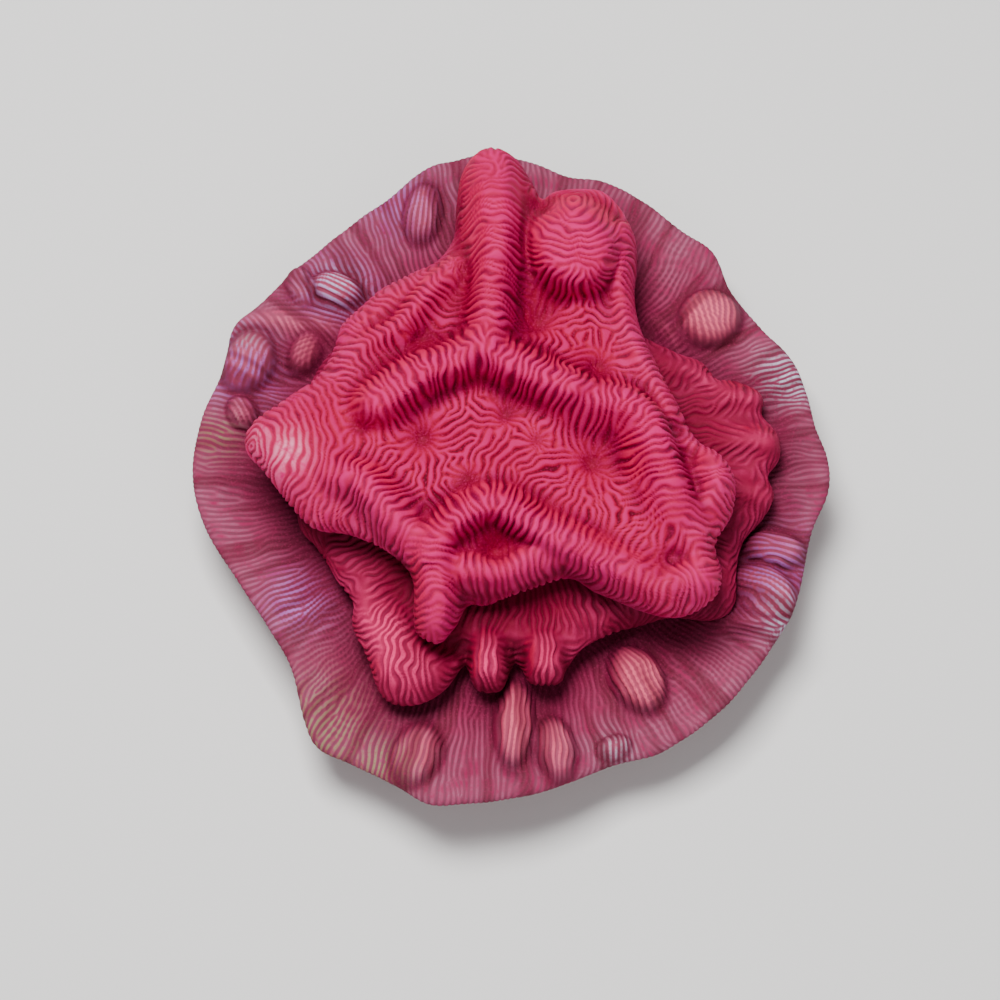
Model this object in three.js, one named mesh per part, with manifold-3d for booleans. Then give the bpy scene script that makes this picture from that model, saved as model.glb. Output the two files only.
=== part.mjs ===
// A leptoseris coral colony: a broad ribbed plate on a cut foot, a ruffled middle plate above it, and a
// folded crown plate on top. Each plate is one closed solid, forked from the one below by a short stem.
// Millimetres, +Z up. The origin is the middle of the flat cut under the foot.
import * as THREE from "three";
import { mergeVertices } from "three/addons/utils/BufferGeometryUtils.js";
import Module from "manifold-3d";

const wasm = await Module();
wasm.setup();

// Driving dimensions.
const BASE_LEVEL = 10.5; // upper face of the base plate at its middle
const MIDDLE_LEVEL = 19; // upper face of the middle plate at its middle
const CROWN_LEVEL = 29.5; // upper face of the crown plate at its middle
const FORK_GAP = 0.3; // clear space where one plate forks from the next
const BLEND_POWER = 3; // how firmly folds and mounds merge where they meet

// The shape of each plate. An outline runs clockwise seen from above and is star-shaped about the plate's
// centre. A fold is a rounded ridge along a path of [x, y, height]. Its lean carries its top sideways, per mm
// of height, and its fullness makes its top broad and its sides steep. A mound is a rounded swelling, a pit a
// hollow where a polyp sits.
const BASE = {
  name: "base_plate",
  color: 0x98506e,
  roughness: 0.62,
  centre: [0, 0],
  level: BASE_LEVEL,
  flatRadius: 23,
  dish: 2.6,
  waves: [{ count: 7, height: 0.9, phase: 0.6 }, { count: 4, height: 0.7, phase: 2 }],
  outline: [
    [-3, 51], [3, 50], [9, 47.5], [14, 46.5], [19, 43.5], [24.5, 39], [29.5, 35.5], [32, 30], [36, 24.5],
    [40.5, 19], [42.5, 13], [43.5, 7.5], [45, 3], [45, -2], [42.5, -8], [40.5, -16.5], [37.5, -23],
    [33.5, -29], [28.5, -34.5], [21, -39.5], [14, -41.5], [7.5, -44.5], [1.5, -46.5], [-5.5, -47.5],
    [-11, -47.5], [-16, -44.5], [-21.5, -41.5], [-26.5, -39], [-28.5, -35], [-30.5, -27.5], [-34, -21.5],
    [-38.5, -14.5], [-43, -7], [-45, 0.5], [-44, 8.5], [-41, 16.5], [-40, 22.5], [-36.5, 27], [-32, 32.5],
    [-25, 38.5], [-18, 43.5], [-13, 48], [-8, 50],
  ],
  lip: { upperReach: 1.7, upperDrop: 1.1, lowerReach: 1.3, lowerDrop: 1 },
  stem: { at: [0, 0], shoulderRadius: 27, shoulderLevel: 5, rootRadius: 23, rootLevel: 0 },
  folds: [
    { path: [[-41, 24, 1.5], [-34, 24.5, 2.4], [-25, 23, 2.2]], width: 2.6, lean: [0, -0.2], fullness: 1 },
    { path: [[26, -21, 1], [33, -20, 2.4], [40, -19.5, 1.6]], width: 2.6, lean: [0, -0.5], fullness: 1 },
    { path: [[20, 25, 1], [23, 22.5, 1.6], [25, 18, 1]], width: 1.6, lean: [0, 0], fullness: 1 },
  ],
  mounds: [],
  pits: [{ at: [-34, 16], size: 3.4, depth: 1.2 }],
  // Lumps of coral on the plate: place, half length, half width, turn of the long axis in degrees, height.
  lumps: [
    { at: [28.8, 24.8], long: 4.3, wide: 4.6, turn: 105, height: 4.4 },
    { at: [17.6, -29.4], long: 5.2, wide: 3.5, turn: -60, height: 4.4 },
    { at: [0.6, -36], long: 6.6, wide: 2.7, turn: 88, height: 3.6 },
    { at: [6.2, -39.6], long: 4.8, wide: 2.6, turn: 100, height: 3.2 },
    { at: [-12.8, -40.4], long: 4.6, wide: 3.4, turn: 70, height: 2.6 },
    { at: [37, -10.6], long: 4.4, wide: 2.7, turn: 170, height: 3 },
    { at: [35.4, -16.3], long: 4.8, wide: 3.2, turn: 150, height: 3.4 },
    { at: [-37.4, 17.6], long: 5.2, wide: 3.4, turn: 70, height: 3.2 },
    { at: [-29.4, 19.2], long: 3.4, wide: 2.3, turn: 70, height: 3.2 },
    { at: [-38, 9.6], long: 2.6, wide: 2.1, turn: 120, height: 2.8 },
    { at: [-25, 29.4], long: 4, wide: 2.6, turn: 160, height: 3.1 },
    { at: [-30.4, 30.2], long: 3.2, wide: 1.9, turn: 110, height: 2.2 },
    { at: [-12.6, 41], long: 4.6, wide: 2.7, turn: 80, height: 2.5 },
    { at: [14.2, -39.2], long: 2.4, wide: 1.6, turn: 20, height: 1.9 },
  ],
};

const MIDDLE = {
  name: "middle_plate",
  color: 0xb02a4c,
  roughness: 0.55,
  centre: [2, -3],
  level: MIDDLE_LEVEL,
  flatRadius: 22,
  dish: -1.8,
  waves: [{ count: 9, height: 0.5, phase: 0 }, { count: 4, height: 0.7, phase: 1.2 }],
  outline: [
    [7, 26], [18.5, 21], [23.5, 18.4], [27.4, 16.8], [29.4, 14], [32.4, 14], [35.6, 11.6], [35.6, 8.4],
    [37.6, 5.4], [37.8, 1.8], [36.2, -0.8], [36.8, -3.6], [35.2, -7], [32.6, -10], [31.5, -14], [31, -19.5],
    [28, -21.5], [22.5, -21], [17, -22.5], [13, -24.2], [10, -26], [7.8, -28.8], [6.6, -31], [3, -31],
    [1.6, -28.6], [0.7, -27.6], [0, -28.8], [-1.4, -31.8], [-4.6, -31.8], [-5.8, -28.8], [-6.6, -28.4],
    [-9.2, -32], [-13.5, -34], [-17.5, -32.5], [-19.5, -27], [-21.5, -23], [-21.5, -19.5], [-24, -16],
    [-27, -11], [-29.5, -7.5], [-30, 2], [-29.5, 10], [-26, 18], [-17, 25], [-5.5, 27],
  ],
  lip: { upperReach: 3, upperDrop: 2.3, lowerReach: 1.8, lowerDrop: 1.2 },
  stem: {
    at: [1, -1],
    shoulderRadius: 20,
    shoulderLevel: 13.2,
    rootRadius: 16,
    rootLevel: BASE_LEVEL + FORK_GAP,
  },
  folds: [
    { path: [[22, 15, 1], [26, 14.5, 2], [29.5, 12, 1.6]], width: 2, lean: [0.2, -0.3], fullness: 1 },
    {
      path: [[-6, -20.5, 1.8], [1.5, -21.5, 2.4], [8, -22, 2.2], [13, -22, 1.2]],
      width: 1.9,
      lean: [0, -0.5],
      fullness: 1.4,
    },
    {
      path: [[-19, -20, 2.2], [-17.5, -24, 3.4], [-15, -28.5, 4]],
      width: 3.9,
      lean: [-0.1, -0.1],
      fullness: 1.7,
    },
    { path: [[-3, -26, 3], [-3, -29.8, 3.8]], width: 2, lean: [0, -0.1], fullness: 1.4 },
    { path: [[4.6, -26, 3], [4.7, -29.2, 3.8]], width: 2.2, lean: [0, -0.1], fullness: 1.4 },
    { path: [[27, 9.6, 1], [31, 10.8, 2], [34, 10.6, 2.2]], width: 1.9, lean: [0.1, -0.2], fullness: 1.3 },
    { path: [[28, 3.6, 0.8], [33, 3.9, 1.8], [36, 3.4, 2.1]], width: 1.9, lean: [0.1, -0.2], fullness: 1.3 },
    {
      path: [[28, -3, 0.6], [33, -3.7, 1.6], [35.4, -4.4, 1.9]],
      width: 1.8,
      lean: [0.1, -0.2],
      fullness: 1.3,
    },
  ],
  mounds: [{ at: [-13.6, -29.6], size: [5.2, 4.4], height: 3.2, lean: [0, -0.2], fullness: 1.5 }],
  pits: [
    { at: [-15.5, -18], size: 3.4, depth: 1.6 },
    { at: [0.8, -27], size: 1.7, depth: 1.6 },
    { at: [-7, -26.6], size: 1.7, depth: 1.4 },
  ],
  lumps: [],
};

const CROWN = {
  name: "crown_plate",
  color: 0xba3658,
  roughness: 0.5,
  centre: [-2, 6],
  level: CROWN_LEVEL,
  flatRadius: 0,
  dish: -3.6,
  waves: [{ count: 5, height: 0.5, phase: 1.2 }, { count: 3, height: 0.6, phase: 2.6 }],
  outline: [
    [-3, 45.5], [1, 44], [3, 41], [4.5, 38.5], [6.5, 39.5], [10, 40], [13.5, 39.5], [16.5, 36], [18, 30.5],
    [17.5, 24], [18, 19.5], [20, 14], [22, 9], [24.2, 4.4], [26.4, 0.8], [29, -1.4], [30.8, -4.8],
    [30.4, -9], [28, -13.4], [28.8, -17.4], [27.6, -21.4], [23, -23.6], [17.5, -22.4], [12, -20], [8, -18],
    [2.5, -19.5], [-3, -21.5], [-5.9, -21.9], [-7.7, -25.2], [-10, -27.4], [-12.8, -25.4], [-13, -20],
    [-13.5, -17], [-16.5, -14.5],
    [-22, -12], [-27, -11], [-31, -7], [-34, -3], [-36.5, 0.5], [-36, 4], [-32, 7.5], [-27, 11.5],
    [-24.5, 16], [-23, 20], [-17.5, 25], [-11, 28.5], [-8, 32], [-7.5, 37.5], [-6.5, 42.5],
  ],
  lip: { upperReach: 4, upperDrop: 3.5, lowerReach: 2.4, lowerDrop: 2 },
  stem: {
    at: [1, 1.5],
    shoulderRadius: 15,
    shoulderLevel: 21,
    rootRadius: 11.5,
    rootLevel: MIDDLE_LEVEL + FORK_GAP,
  },
  folds: [
    // The arched fold across the crown, and its broad return along the right-hand side.
    {
      path: [
        [-18.1, 5.4, 4.4], [-15.7, 7.2, 5], [-13.4, 8.8, 5.4], [-10.7, 10.1, 5.6], [-7.8, 11.1, 5.6],
        [-3.9, 12.1, 5.8], [0.6, 10.5, 5.5], [4.6, 8.6, 5.3], [7.3, 7, 5],
      ],
      width: 3.2,
      lean: [0, -0.25],
      fullness: 1.6,
    },
    {
      path: [
        [7.3, 7, 5], [10.4, 5.2, 4.8], [14.2, 4.8, 5], [17.2, 2.8, 5.2], [19, -1.5, 5], [20.6, -6, 4.4],
        [22.4, -10, 3.2], [24.4, -13, 1.6],
      ],
      width: 3.2,
      lean: [0.2, -0.1],
      fullness: 1.6,
    },
    // The long rear finger, which narrows towards the arched fold.
    {
      path: [[-2.6, 41.5, 3.8], [-2.5, 38, 5.4], [-2.1, 33, 6], [-1.9, 27, 5.2]],
      width: 3.7,
      lean: [0, 0],
      fullness: 1.8,
    },
    {
      path: [[-1.9, 29, 5.4], [-2.2, 22, 5.8], [-2.8, 16.5, 5.4], [-3.9, 12.1, 5]],
      width: 3,
      lean: [0, 0],
      fullness: 1.8,
    },
    // The front fold, the lip below it and the front finger.
    {
      path: [
        [-10.2, -16.5, 3.4], [-9.3, -13.2, 4], [-6, -10.5, 4.7], [-2.7, -9.2, 5], [0.6, -10.4, 5],
        [4.5, -12.8, 4.7], [8.9, -15.2, 4.1], [13.3, -17.2, 3.3], [17.5, -19.3, 2.3], [20.5, -21, 1.2],
      ],
      width: 2.6,
      lean: [0, -0.2],
      fullness: 1.15,
    },
    {
      path: [[-8, -18.2, 2.8], [-4.8, -18.4, 3.4], [-2.2, -18.4, 3.6], [1.3, -17.6, 3.4], [5.6, -16, 2.4]],
      width: 2.3,
      lean: [0, -0.15],
      fullness: 1.15,
    },
    {
      path: [[-10.3, -16, 3.4], [-10.2, -20.5, 4.2], [-9.9, -25.4, 4]],
      width: 2.7,
      lean: [0, -0.1],
      fullness: 1.3,
    },
    // The rolled edge at the lower left, the low crests at the upper left and the right-hand rim.
    {
      path: [[-24, -4.6, 2.2], [-20.4, -5.9, 3.4], [-17.2, -8.9, 4], [-14.3, -12.9, 4], [-11.2, -16.6, 3.6]],
      width: 2.7,
      lean: [-0.15, -0.15],
      fullness: 1.15,
    },
    {
      path: [[-23, 12.9, 1.2], [-19, 15.3, 2], [-15.2, 17, 2.5], [-11.5, 21.9, 2.7], [-8, 25.7, 2.7]],
      width: 1.9,
      lean: [0, 0],
      fullness: 1.4,
    },
    { path: [[-24, 17, 1.2], [-17.5, 22, 1], [-12, 25, 0.8]], width: 1.8, lean: [0, 0], fullness: 1 },
    {
      path: [
        [16.2, 32, 2.2], [16, 25, 2.3], [16.6, 19, 2.3], [18.2, 13.6, 2.3], [20.3, 9, 2.1], [22.5, 5, 1.6],
      ],
      width: 1.8,
      lean: [0, 0],
      fullness: 1.5,
    },
  ],
  mounds: [
    { at: [9, 29.4], size: [6.3, 7.4], height: 6, lean: [0, -0.36], fullness: 2.2 },
    { at: [28.6, -4.8], size: [3, 4.8], height: 2.6, lean: [0, 0], fullness: 1.6 },
    { at: [25.4, -19.8], size: [4.2, 3.2], height: 3.2, lean: [0, -0.1], fullness: 1.5 },
    { at: [-31.5, -1.5], size: [8, 6.5], height: 2.2, lean: [0, 0], fullness: 1.5 },
  ],
  pits: [
    { at: [4.2, 18.8], size: 4.2, depth: 3.8 },
    { at: [11, -3], size: 4.6, depth: 2.4 },
    { at: [-12, 0.5], size: 4, depth: 2 },
    { at: [-0.5, 3.6], size: 2.8, depth: 1.4 },
    { at: [-6, -7], size: 2.6, depth: 0.8 },
    { at: [-20.5, 2.5], size: 2.6, depth: 0.9 },
    { at: [12, 11.4], size: 2.4, depth: 1.4 },
    { at: [-12, 15.6], size: 3, depth: 1.4 },
    { at: [-1.8, -15.4], size: 2.4, depth: 1.8 },
    { at: [4.6, 35.6], size: 2.6, depth: 1.2 },
    { at: [22.6, -16.6], size: 1.9, depth: 1.8 },
    { at: [-19, 19], size: 4, depth: 1.4 },
    { at: [22.6, 1.8], size: 2, depth: 1 },
    { at: [24.4, -2.2], size: 2.1, depth: 1.5 },
    { at: [25.8, -6], size: 2, depth: 1.2 },
  ],
  lumps: [],
};

// How finely each plate is divided: the distance between points on the upper face in mm, how many times
// coarser the underside is, and the rings from the middle out, over the lip and back to the stem.
const DIVISIONS = {
  base_plate: { spacing: 2.8, coarser: 1.6, top: 9, lip: 2, under: 3 },
  middle_plate: { spacing: 2.1, coarser: 1.6, top: 7, lip: 3, under: 2 },
  crown_plate: { spacing: 1.74, coarser: 2, top: 20, lip: 3, under: 3 },
};
const FEWEST_ROUND = 8; // points in the smallest ring
const FLAT_SHARE = 0.8; // share of the flat radius that is quite flat
const SURVEY_ROUND = 120; // points that measure a ring's length
const LUMP_ROUND = 9;
const LUMP_TALL = 5;
const LUMP_ROOT = 0.8; // how deep a lump is rooted in the plate

const STEM_LOBES = [
  { count: 3, share: 0.07, phase: 0.4 },
  { count: 5, share: 0.05, phase: 2.1 },
  { count: 11, share: 0.02, phase: 1 },
];

const QUARTER = Math.PI / 2;
const mix = (a, b, t) => a + (b - a) * t;
const ease = (t) => t * t * (3 - 2 * t);
const clamp01 = (t) => Math.min(1, Math.max(0, t));

// The nearest point of a fold's path to (x, y): how far away it is, and the fold's height there.
function nearestOnPath(x, y, path) {
  let best = { distance: Infinity, height: 0 };
  for (let i = 0; i + 1 < path.length; i++) {
    const [ax, ay, ah] = path[i];
    const [bx, by, bh] = path[i + 1];
    const [dx, dy] = [bx - ax, by - ay];
    const t = clamp01(((x - ax) * dx + (y - ay) * dy) / (dx * dx + dy * dy));
    const distance = Math.hypot(x - ax - t * dx, y - ay - t * dy);
    if (distance < best.distance) best = { distance, height: mix(ah, bh, t) };
  }
  return best;
}

// Height of the upper face at (x, y), and how far leaning folds carry that point sideways.
// share is 0 at the plate's centre and 1 on its outline.
function upperFace(plate, x, y, share) {
  let blended = 0;
  let [leanX, leanY] = [0, 0];
  const add = (rise, lean) => {
    const strength = rise ** BLEND_POWER;
    blended += strength;
    leanX += lean[0] * strength;
    leanY += lean[1] * strength;
  };
  for (const fold of plate.folds) {
    const { distance, height } = nearestOnPath(x, y, fold.path);
    add(height * Math.exp(-((distance / fold.width) ** (2 * fold.fullness))), fold.lean);
  }
  for (const mound of plate.mounds) {
    const [u, v] = [(x - mound.at[0]) / mound.size[0], (y - mound.at[1]) / mound.size[1]];
    add(mound.height * Math.exp(-((u * u + v * v) ** mound.fullness)), mound.lean);
  }
  const rise = blended ** (1 / BLEND_POWER);
  const [shiftX, shiftY] = blended > 0 ? [(leanX / blended) * rise, (leanY / blended) * rise] : [0, 0];
  let z = plate.level + rise;
  for (const pit of plate.pits) {
    const away = Math.hypot(x - pit.at[0], y - pit.at[1]) / pit.size;
    z -= pit.depth * Math.exp(-away * away);
  }
  const turn = Math.atan2(y - plate.centre[1], x - plate.centre[0]);
  z += plate.dish * share ** 2;
  for (const wave of plate.waves) z += wave.height * share ** 3 * Math.sin(wave.count * turn + wave.phase);
  // The middle of a plate that carries another is flat, for the next stem to stand on.
  const away = Math.hypot(x - plate.centre[0], y - plate.centre[1]);
  const flat = plate.flatRadius * FLAT_SHARE;
  const free = flat > 0 ? ease(clamp01((away - flat) / (2 * (plate.flatRadius - flat)))) : 1;
  return { z: mix(plate.level, z, free), shiftX: shiftX * free, shiftY: shiftY * free };
}

// The stations of one section, from the plate's centre over the lip and down the stem. out gives a point's
// distance from the plate's centre where its outline lies at distance reach, drop how far it hangs below the
// upper face, toStem how far it has gone from the lip to the shoulder of the stem, and coarser how much wider
// its points lie.
function sectionStations({ name, lip, flatRadius }) {
  const divisions = DIVISIONS[name];
  const flat = flatRadius * FLAT_SHARE;
  const stations = [];
  for (let i = flat > 0 ? 0 : 1; i <= divisions.top; i++) {
    const t = i / divisions.top;
    stations.push({ out: (reach) => mix(flat, reach - lip.upperReach, t), drop: 0, toStem: 0, coarser: 1 });
  }
  for (let i = 1; i <= divisions.lip; i++) {
    const angle = (i / divisions.lip) * QUARTER;
    stations.push({
      out: (reach) => reach - lip.upperReach * (1 - Math.sin(angle)),
      drop: lip.upperDrop * (1 - Math.cos(angle)),
      toStem: 0,
      coarser: 1,
    });
  }
  for (let i = 0; i <= divisions.under; i++) {
    stations.push({
      out: (reach) => reach - lip.lowerReach,
      drop: lip.upperDrop + lip.lowerDrop,
      toStem: i / divisions.under,
      under: true,
      coarser: divisions.coarser,
    });
  }
  return stations;
}

// How much thicker or thinner a stem is towards a direction than its mean radius.
function stemGirth(turn) {
  return STEM_LOBES.reduce((sum, { count, share, phase }) => sum + share * Math.sin(count * turn + phase), 1);
}

// The ray from the plate's centre to a share of the way round its outline.
function outlineRay(plate, curve, share) {
  const edge = curve.getPointAt(share);
  const [dx, dy] = [edge.x - plate.centre[0], edge.y - plate.centre[1]];
  const reach = Math.hypot(dx, dy);
  return { dx: dx / reach, dy: dy / reach, reach, girth: stemGirth(Math.atan2(dy, dx)) };
}

// The point of a station on one ray.
function stationPoint(plate, station, { dx, dy, reach, girth }) {
  const { centre, stem } = plate;
  const out = station.out(reach);
  const faceOut = station.under ? reach : out;
  const face = upperFace(plate, centre[0] + dx * faceOut, centre[1] + dy * faceOut, faceOut / reach);
  const lipX = centre[0] + dx * out + face.shiftX;
  const lipY = centre[1] + dy * out + face.shiftY;
  return [
    mix(lipX, stem.at[0] + dx * stem.shoulderRadius * girth, station.toStem),
    mix(lipY, stem.at[1] + dy * stem.shoulderRadius * girth, station.toStem),
    mix(face.z - station.drop, stem.shoulderLevel, ease(station.toStem)),
  ];
}

// Distance between two points.
const span = (a, b) => Math.hypot(b[0] - a[0], b[1] - a[1], b[2] - a[2]);

// Length round a closed ring of points.
function ringLength(ring) {
  return ring.reduce((sum, point, i) => sum + span(point, ring[(i + 1) % ring.length]), 0);
}

// Triangles between two neighbouring rings, each { first, count } in the list of points. Of the two edges
// that can come next the shorter is taken, unless one ring would fall behind the other.
function bridgeRings(points, inner, outer, triangles) {
  const most = 1 / Math.min(inner.count, outer.count);
  let [i, j] = [0, 0];
  while (i < inner.count || j < outer.count) {
    const [a, b] = [inner.first + (i % inner.count), outer.first + (j % outer.count)];
    const [nextA, nextB] = [inner.first + ((i + 1) % inner.count), outer.first + ((j + 1) % outer.count)];
    const ahead = (i + 0.5) / inner.count - (j + 0.5) / outer.count;
    const shorter = span(points[nextA], points[b]) <= span(points[a], points[nextB]);
    const alongInner = j >= outer.count || ahead < -most || (ahead <= most && shorter);
    if (i < inner.count && alongInner) {
      i++;
      triangles.push(a, b, nextA);
    } else {
      j++;
      triangles.push(a, b, nextB);
    }
  }
}

// A plate as one closed geometry.
function plateGeometry(plate) {
  const { centre, stem } = plate;
  const { spacing, coarser } = DIVISIONS[plate.name];
  const curve = new THREE.CatmullRomCurve3(
    plate.outline.map(([x, y]) => new THREE.Vector3(x, y, 0)).reverse(),
    true,
    "catmullrom",
    0.5,
  );
  const middle = upperFace(plate, centre[0], centre[1], 0);
  const points = [[centre[0] + middle.shiftX, centre[1] + middle.shiftY, middle.z]];
  const rings = [];
  const addRing = (pointAt, wanted) => {
    const rough = Array.from({ length: SURVEY_ROUND }, (_, i) => pointAt(i / SURVEY_ROUND));
    const count = Math.max(FEWEST_ROUND, Math.round(ringLength(rough) / wanted));
    rings.push({ first: points.length, count });
    for (let i = 0; i < count; i++) points.push(pointAt(i / count));
  };
  for (const station of sectionStations(plate)) {
    const pointAt = (share) => stationPoint(plate, station, outlineRay(plate, curve, share));
    addRing(pointAt, spacing * station.coarser);
  }
  addRing((share) => {
    const { dx, dy, girth } = outlineRay(plate, curve, share);
    const radius = stem.rootRadius * girth;
    return [stem.at[0] + dx * radius, stem.at[1] + dy * radius, stem.rootLevel];
  }, spacing * coarser);
  const foot = points.length;
  points.push([stem.at[0], stem.at[1], stem.rootLevel]);

  const triangles = [];
  const fan = (hub, { first, count }, outward) => {
    for (let i = 0; i < count; i++) {
      const [a, b] = [first + i, first + ((i + 1) % count)];
      triangles.push(hub, outward ? a : b, outward ? b : a);
    }
  };
  fan(0, rings[0], true);
  for (let k = 0; k + 1 < rings.length; k++) {
    bridgeRings(points, rings[k], rings[k + 1], triangles);
  }
  fan(foot, rings[rings.length - 1], false);
  return new THREE.BufferGeometry()
    .setAttribute("position", new THREE.Float32BufferAttribute(points.flat(), 3))
    .setIndex(triangles);
}

// A closed geometry as a solid, and back.
function toSolid(geometry) {
  const bare = new THREE.BufferGeometry()
    .setAttribute("position", geometry.getAttribute("position"))
    .setIndex(geometry.index);
  const merged = mergeVertices(bare, 1e-4);
  return new wasm.Manifold(
    new wasm.Mesh({
      numProp: 3,
      vertProperties: new Float32Array(merged.attributes.position.array),
      triVerts: new Uint32Array(merged.index.array),
    }),
  );
}

function toGeometry(solid) {
  const { vertProperties, triVerts } = solid.getMesh();
  return new THREE.BufferGeometry()
    .setAttribute("position", new THREE.Float32BufferAttribute(vertProperties, 3))
    .setIndex(Array.from(triVerts));
}

// The share of the way from the plate's centre to its outline at (x, y), near enough for a lump's footing.
function shareAt(plate, x, y) {
  const total = plate.outline.reduce((sum, [px, py]) => sum + Math.hypot(px, py), 0);
  const reach = total / plate.outline.length;
  return Math.min(1, Math.hypot(x - plate.centre[0], y - plate.centre[1]) / reach);
}

// A rounded lump that grows out of the plate.
function lumpGeometry(plate, lump) {
  const [x, y] = lump.at;
  const footing = upperFace(plate, x, y, shareAt(plate, x, y)).z - 0.3;
  const geometry = new THREE.SphereGeometry(1, LUMP_ROUND, LUMP_TALL).rotateX(QUARTER);
  const position = geometry.getAttribute("position");
  for (let i = 0; i < position.count; i++) {
    const z = position.getZ(i);
    position.setZ(i, z < 0 ? (z * LUMP_ROOT) / lump.height : z);
  }
  return geometry
    .scale(lump.long, lump.wide, lump.height)
    .rotateZ(THREE.MathUtils.degToRad(lump.turn))
    .translate(x, y, footing);
}

// A plate with its lumps, as one named mesh.
function plateMesh(plate) {
  let solid = toSolid(plateGeometry(plate));
  for (const lump of plate.lumps) solid = solid.add(toSolid(lumpGeometry(plate, lump)));
  const geometry = plate.lumps.length ? toGeometry(solid) : plateGeometry(plate);
  geometry.computeVertexNormals();
  const material = new THREE.MeshStandardMaterial({
    color: plate.color,
    roughness: plate.roughness,
    metalness: 0,
    flatShading: true,
  });
  const mesh = new THREE.Mesh(geometry, material);
  mesh.name = plate.name;
  return mesh;
}

const coral = new THREE.Group();
for (const plate of [BASE, MIDDLE, CROWN]) coral.add(plateMesh(plate));

export default coral;
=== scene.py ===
"""The looks of a leptoseris coral colony.

Three plates are grown here as fine meshes over the solids of the frame: the broad base plate with its
knobbly pale rim, the redder middle plate, and the folded crimson crown. Their ribs are grown too: a stripe
pattern that is led by the folds, the polyp centres and the whorls, and that wanders where nothing leads it,
as it does on the living coral.

Shapes are worked out in millimetres and turned into metres where a mesh is made.
"""

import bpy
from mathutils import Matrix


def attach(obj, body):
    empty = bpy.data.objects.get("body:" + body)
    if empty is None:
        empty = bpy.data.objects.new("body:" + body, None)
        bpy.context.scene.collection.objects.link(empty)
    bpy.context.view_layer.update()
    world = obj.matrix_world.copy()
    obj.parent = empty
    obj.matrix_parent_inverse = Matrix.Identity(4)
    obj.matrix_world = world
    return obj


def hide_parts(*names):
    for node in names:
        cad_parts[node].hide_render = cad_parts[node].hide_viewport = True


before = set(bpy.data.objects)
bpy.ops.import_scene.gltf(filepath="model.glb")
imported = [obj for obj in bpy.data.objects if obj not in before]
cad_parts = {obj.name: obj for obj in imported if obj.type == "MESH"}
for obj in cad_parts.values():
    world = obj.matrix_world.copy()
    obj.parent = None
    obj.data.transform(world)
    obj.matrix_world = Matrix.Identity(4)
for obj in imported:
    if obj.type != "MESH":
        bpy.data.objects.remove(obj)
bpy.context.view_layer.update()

import logging
import math
from collections.abc import Callable
from dataclasses import dataclass, field
from enum import Enum

import bpy
import numpy as np
from mathutils import Vector

log = logging.getLogger("coral")
logging.basicConfig(level=logging.INFO, format="%(message)s")

MM = 0.001
BODY = "root"

# Levels of the plates' upper faces and the gap under each stem, mm.
BASE_LEVEL = 10.5
MIDDLE_LEVEL = 19.0
CROWN_LEVEL = 29.5
FORK_GAP = 0.3
# How sharply neighbouring folds are told apart where they meet.
BLEND_POWER = 3.0
# Share of a plate's flat radius that is quite flat.
FLAT_SHARE = 0.8
# The least that the rings keep growing at the lip, mm.
RING_ROOM = 3.0
# Cells of the grids of the upper face and how far they reach past the outline, mm.
FACE_CELL = 0.2
FACE_MARGIN = 8.0
# Directions that the outline's reach is kept for, and the blur that gives its soft form.
DIRECTIONS = 720
SOFT_REACH = 7.0
# Size of the hollows that are told from the face around them and given painted shade, mm.
HOLLOW_SIZE = 1.6
# Height at which a raised part has all of its paler tone, partly its own colour and partly painted top light,
# mm.
RAISED_HEIGHT = 5.0
# Radial streaks: how many go round, and their phase.
STREAKS = ((19, 0.3), (31, 1.9), (47, 4.0), (71, 2.6), (101, 5.1))
# The painted shade ring round the foot of each knob: its place and half width, as shares of the knob.
KNOB_RING = (1.08, 0.16)
# How firmly ribs are led inside whorls, knobs and combs.
FIRM_LEAD = 2.0
# Widths over which the ribs fade in round a flat middle and the costae fade out down a stem, mm.
RIB_FADE = 1.5
COSTA_FADE = 4.0
# Relief of the costae under a plate, as a share of that of its ribs.
COSTA_RELIEF = 0.45
# How far the streaks bend in radians, and how quickly along the way out, for each mm.
STREAK_BEND = 1.5
STREAK_TURN = 0.12
# Where each mark begins and where it is full: shares of the reach, the distance in mm from the outline of a
# plate above for the painted shadow, the steepness for the painted light on flanks, the depth in mm for the
# painted shade in hollows, and the sum of the streaks.
FLATTER_RIM = (0.9, 1.0)
RIM_TONE = (0.62, 1.0)
CAST_SHADOW_RANGE = (-1.0, 8.0)
LIT_STEEPNESS = (0.35, 1.5)
HOLLOW_SHADE = (0.12, 1.0)
STREAKED = (-0.4, 2.2)
# Where a plate is worn: the share of relief that is lost, and the rib height that is left and how firmly.
WORN_RELIEF = 0.8
WORN_RIB = 0.7
WORN_HOLD = 0.7

Array = np.ndarray
Place = tuple[float, float]
Colour = tuple[float, float, float]
Socket = bpy.types.NodeSocket


def ease(t: Array) -> Array:
    """Smooth step from 0 to 1."""
    return t * t * (3.0 - 2.0 * t)


def ramp(values: Array, low: float, high: float) -> Array:
    """Smooth step of values between low and high."""
    return ease(np.clip((values - low) / (high - low), 0.0, 1.0))


def linear(red: int, green: int, blue: int) -> tuple[float, float, float, float]:
    """A screen colour as Blender's linear colour.

    Args:
        red: 0 to 255.
        green: 0 to 255.
        blue: 0 to 255.

    Returns:
        Linear red, green, blue and an alpha of 1.
    """
    shares = [value / 255.0 for value in (red, green, blue)]
    out = [s / 12.92 if s <= 0.04045 else ((s + 0.055) / 1.055) ** 2.4 for s in shares]
    return (*out, 1.0)


def placed(name: str, data: bpy.types.ID) -> bpy.types.Object:
    """A new object of the scene.

    Args:
        name: Its name.
        data: The mesh, camera or light that it shows.

    Returns:
        The object, at the origin.
    """
    made = bpy.data.objects.new(name, data)
    bpy.context.scene.collection.objects.link(made)
    return made


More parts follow.
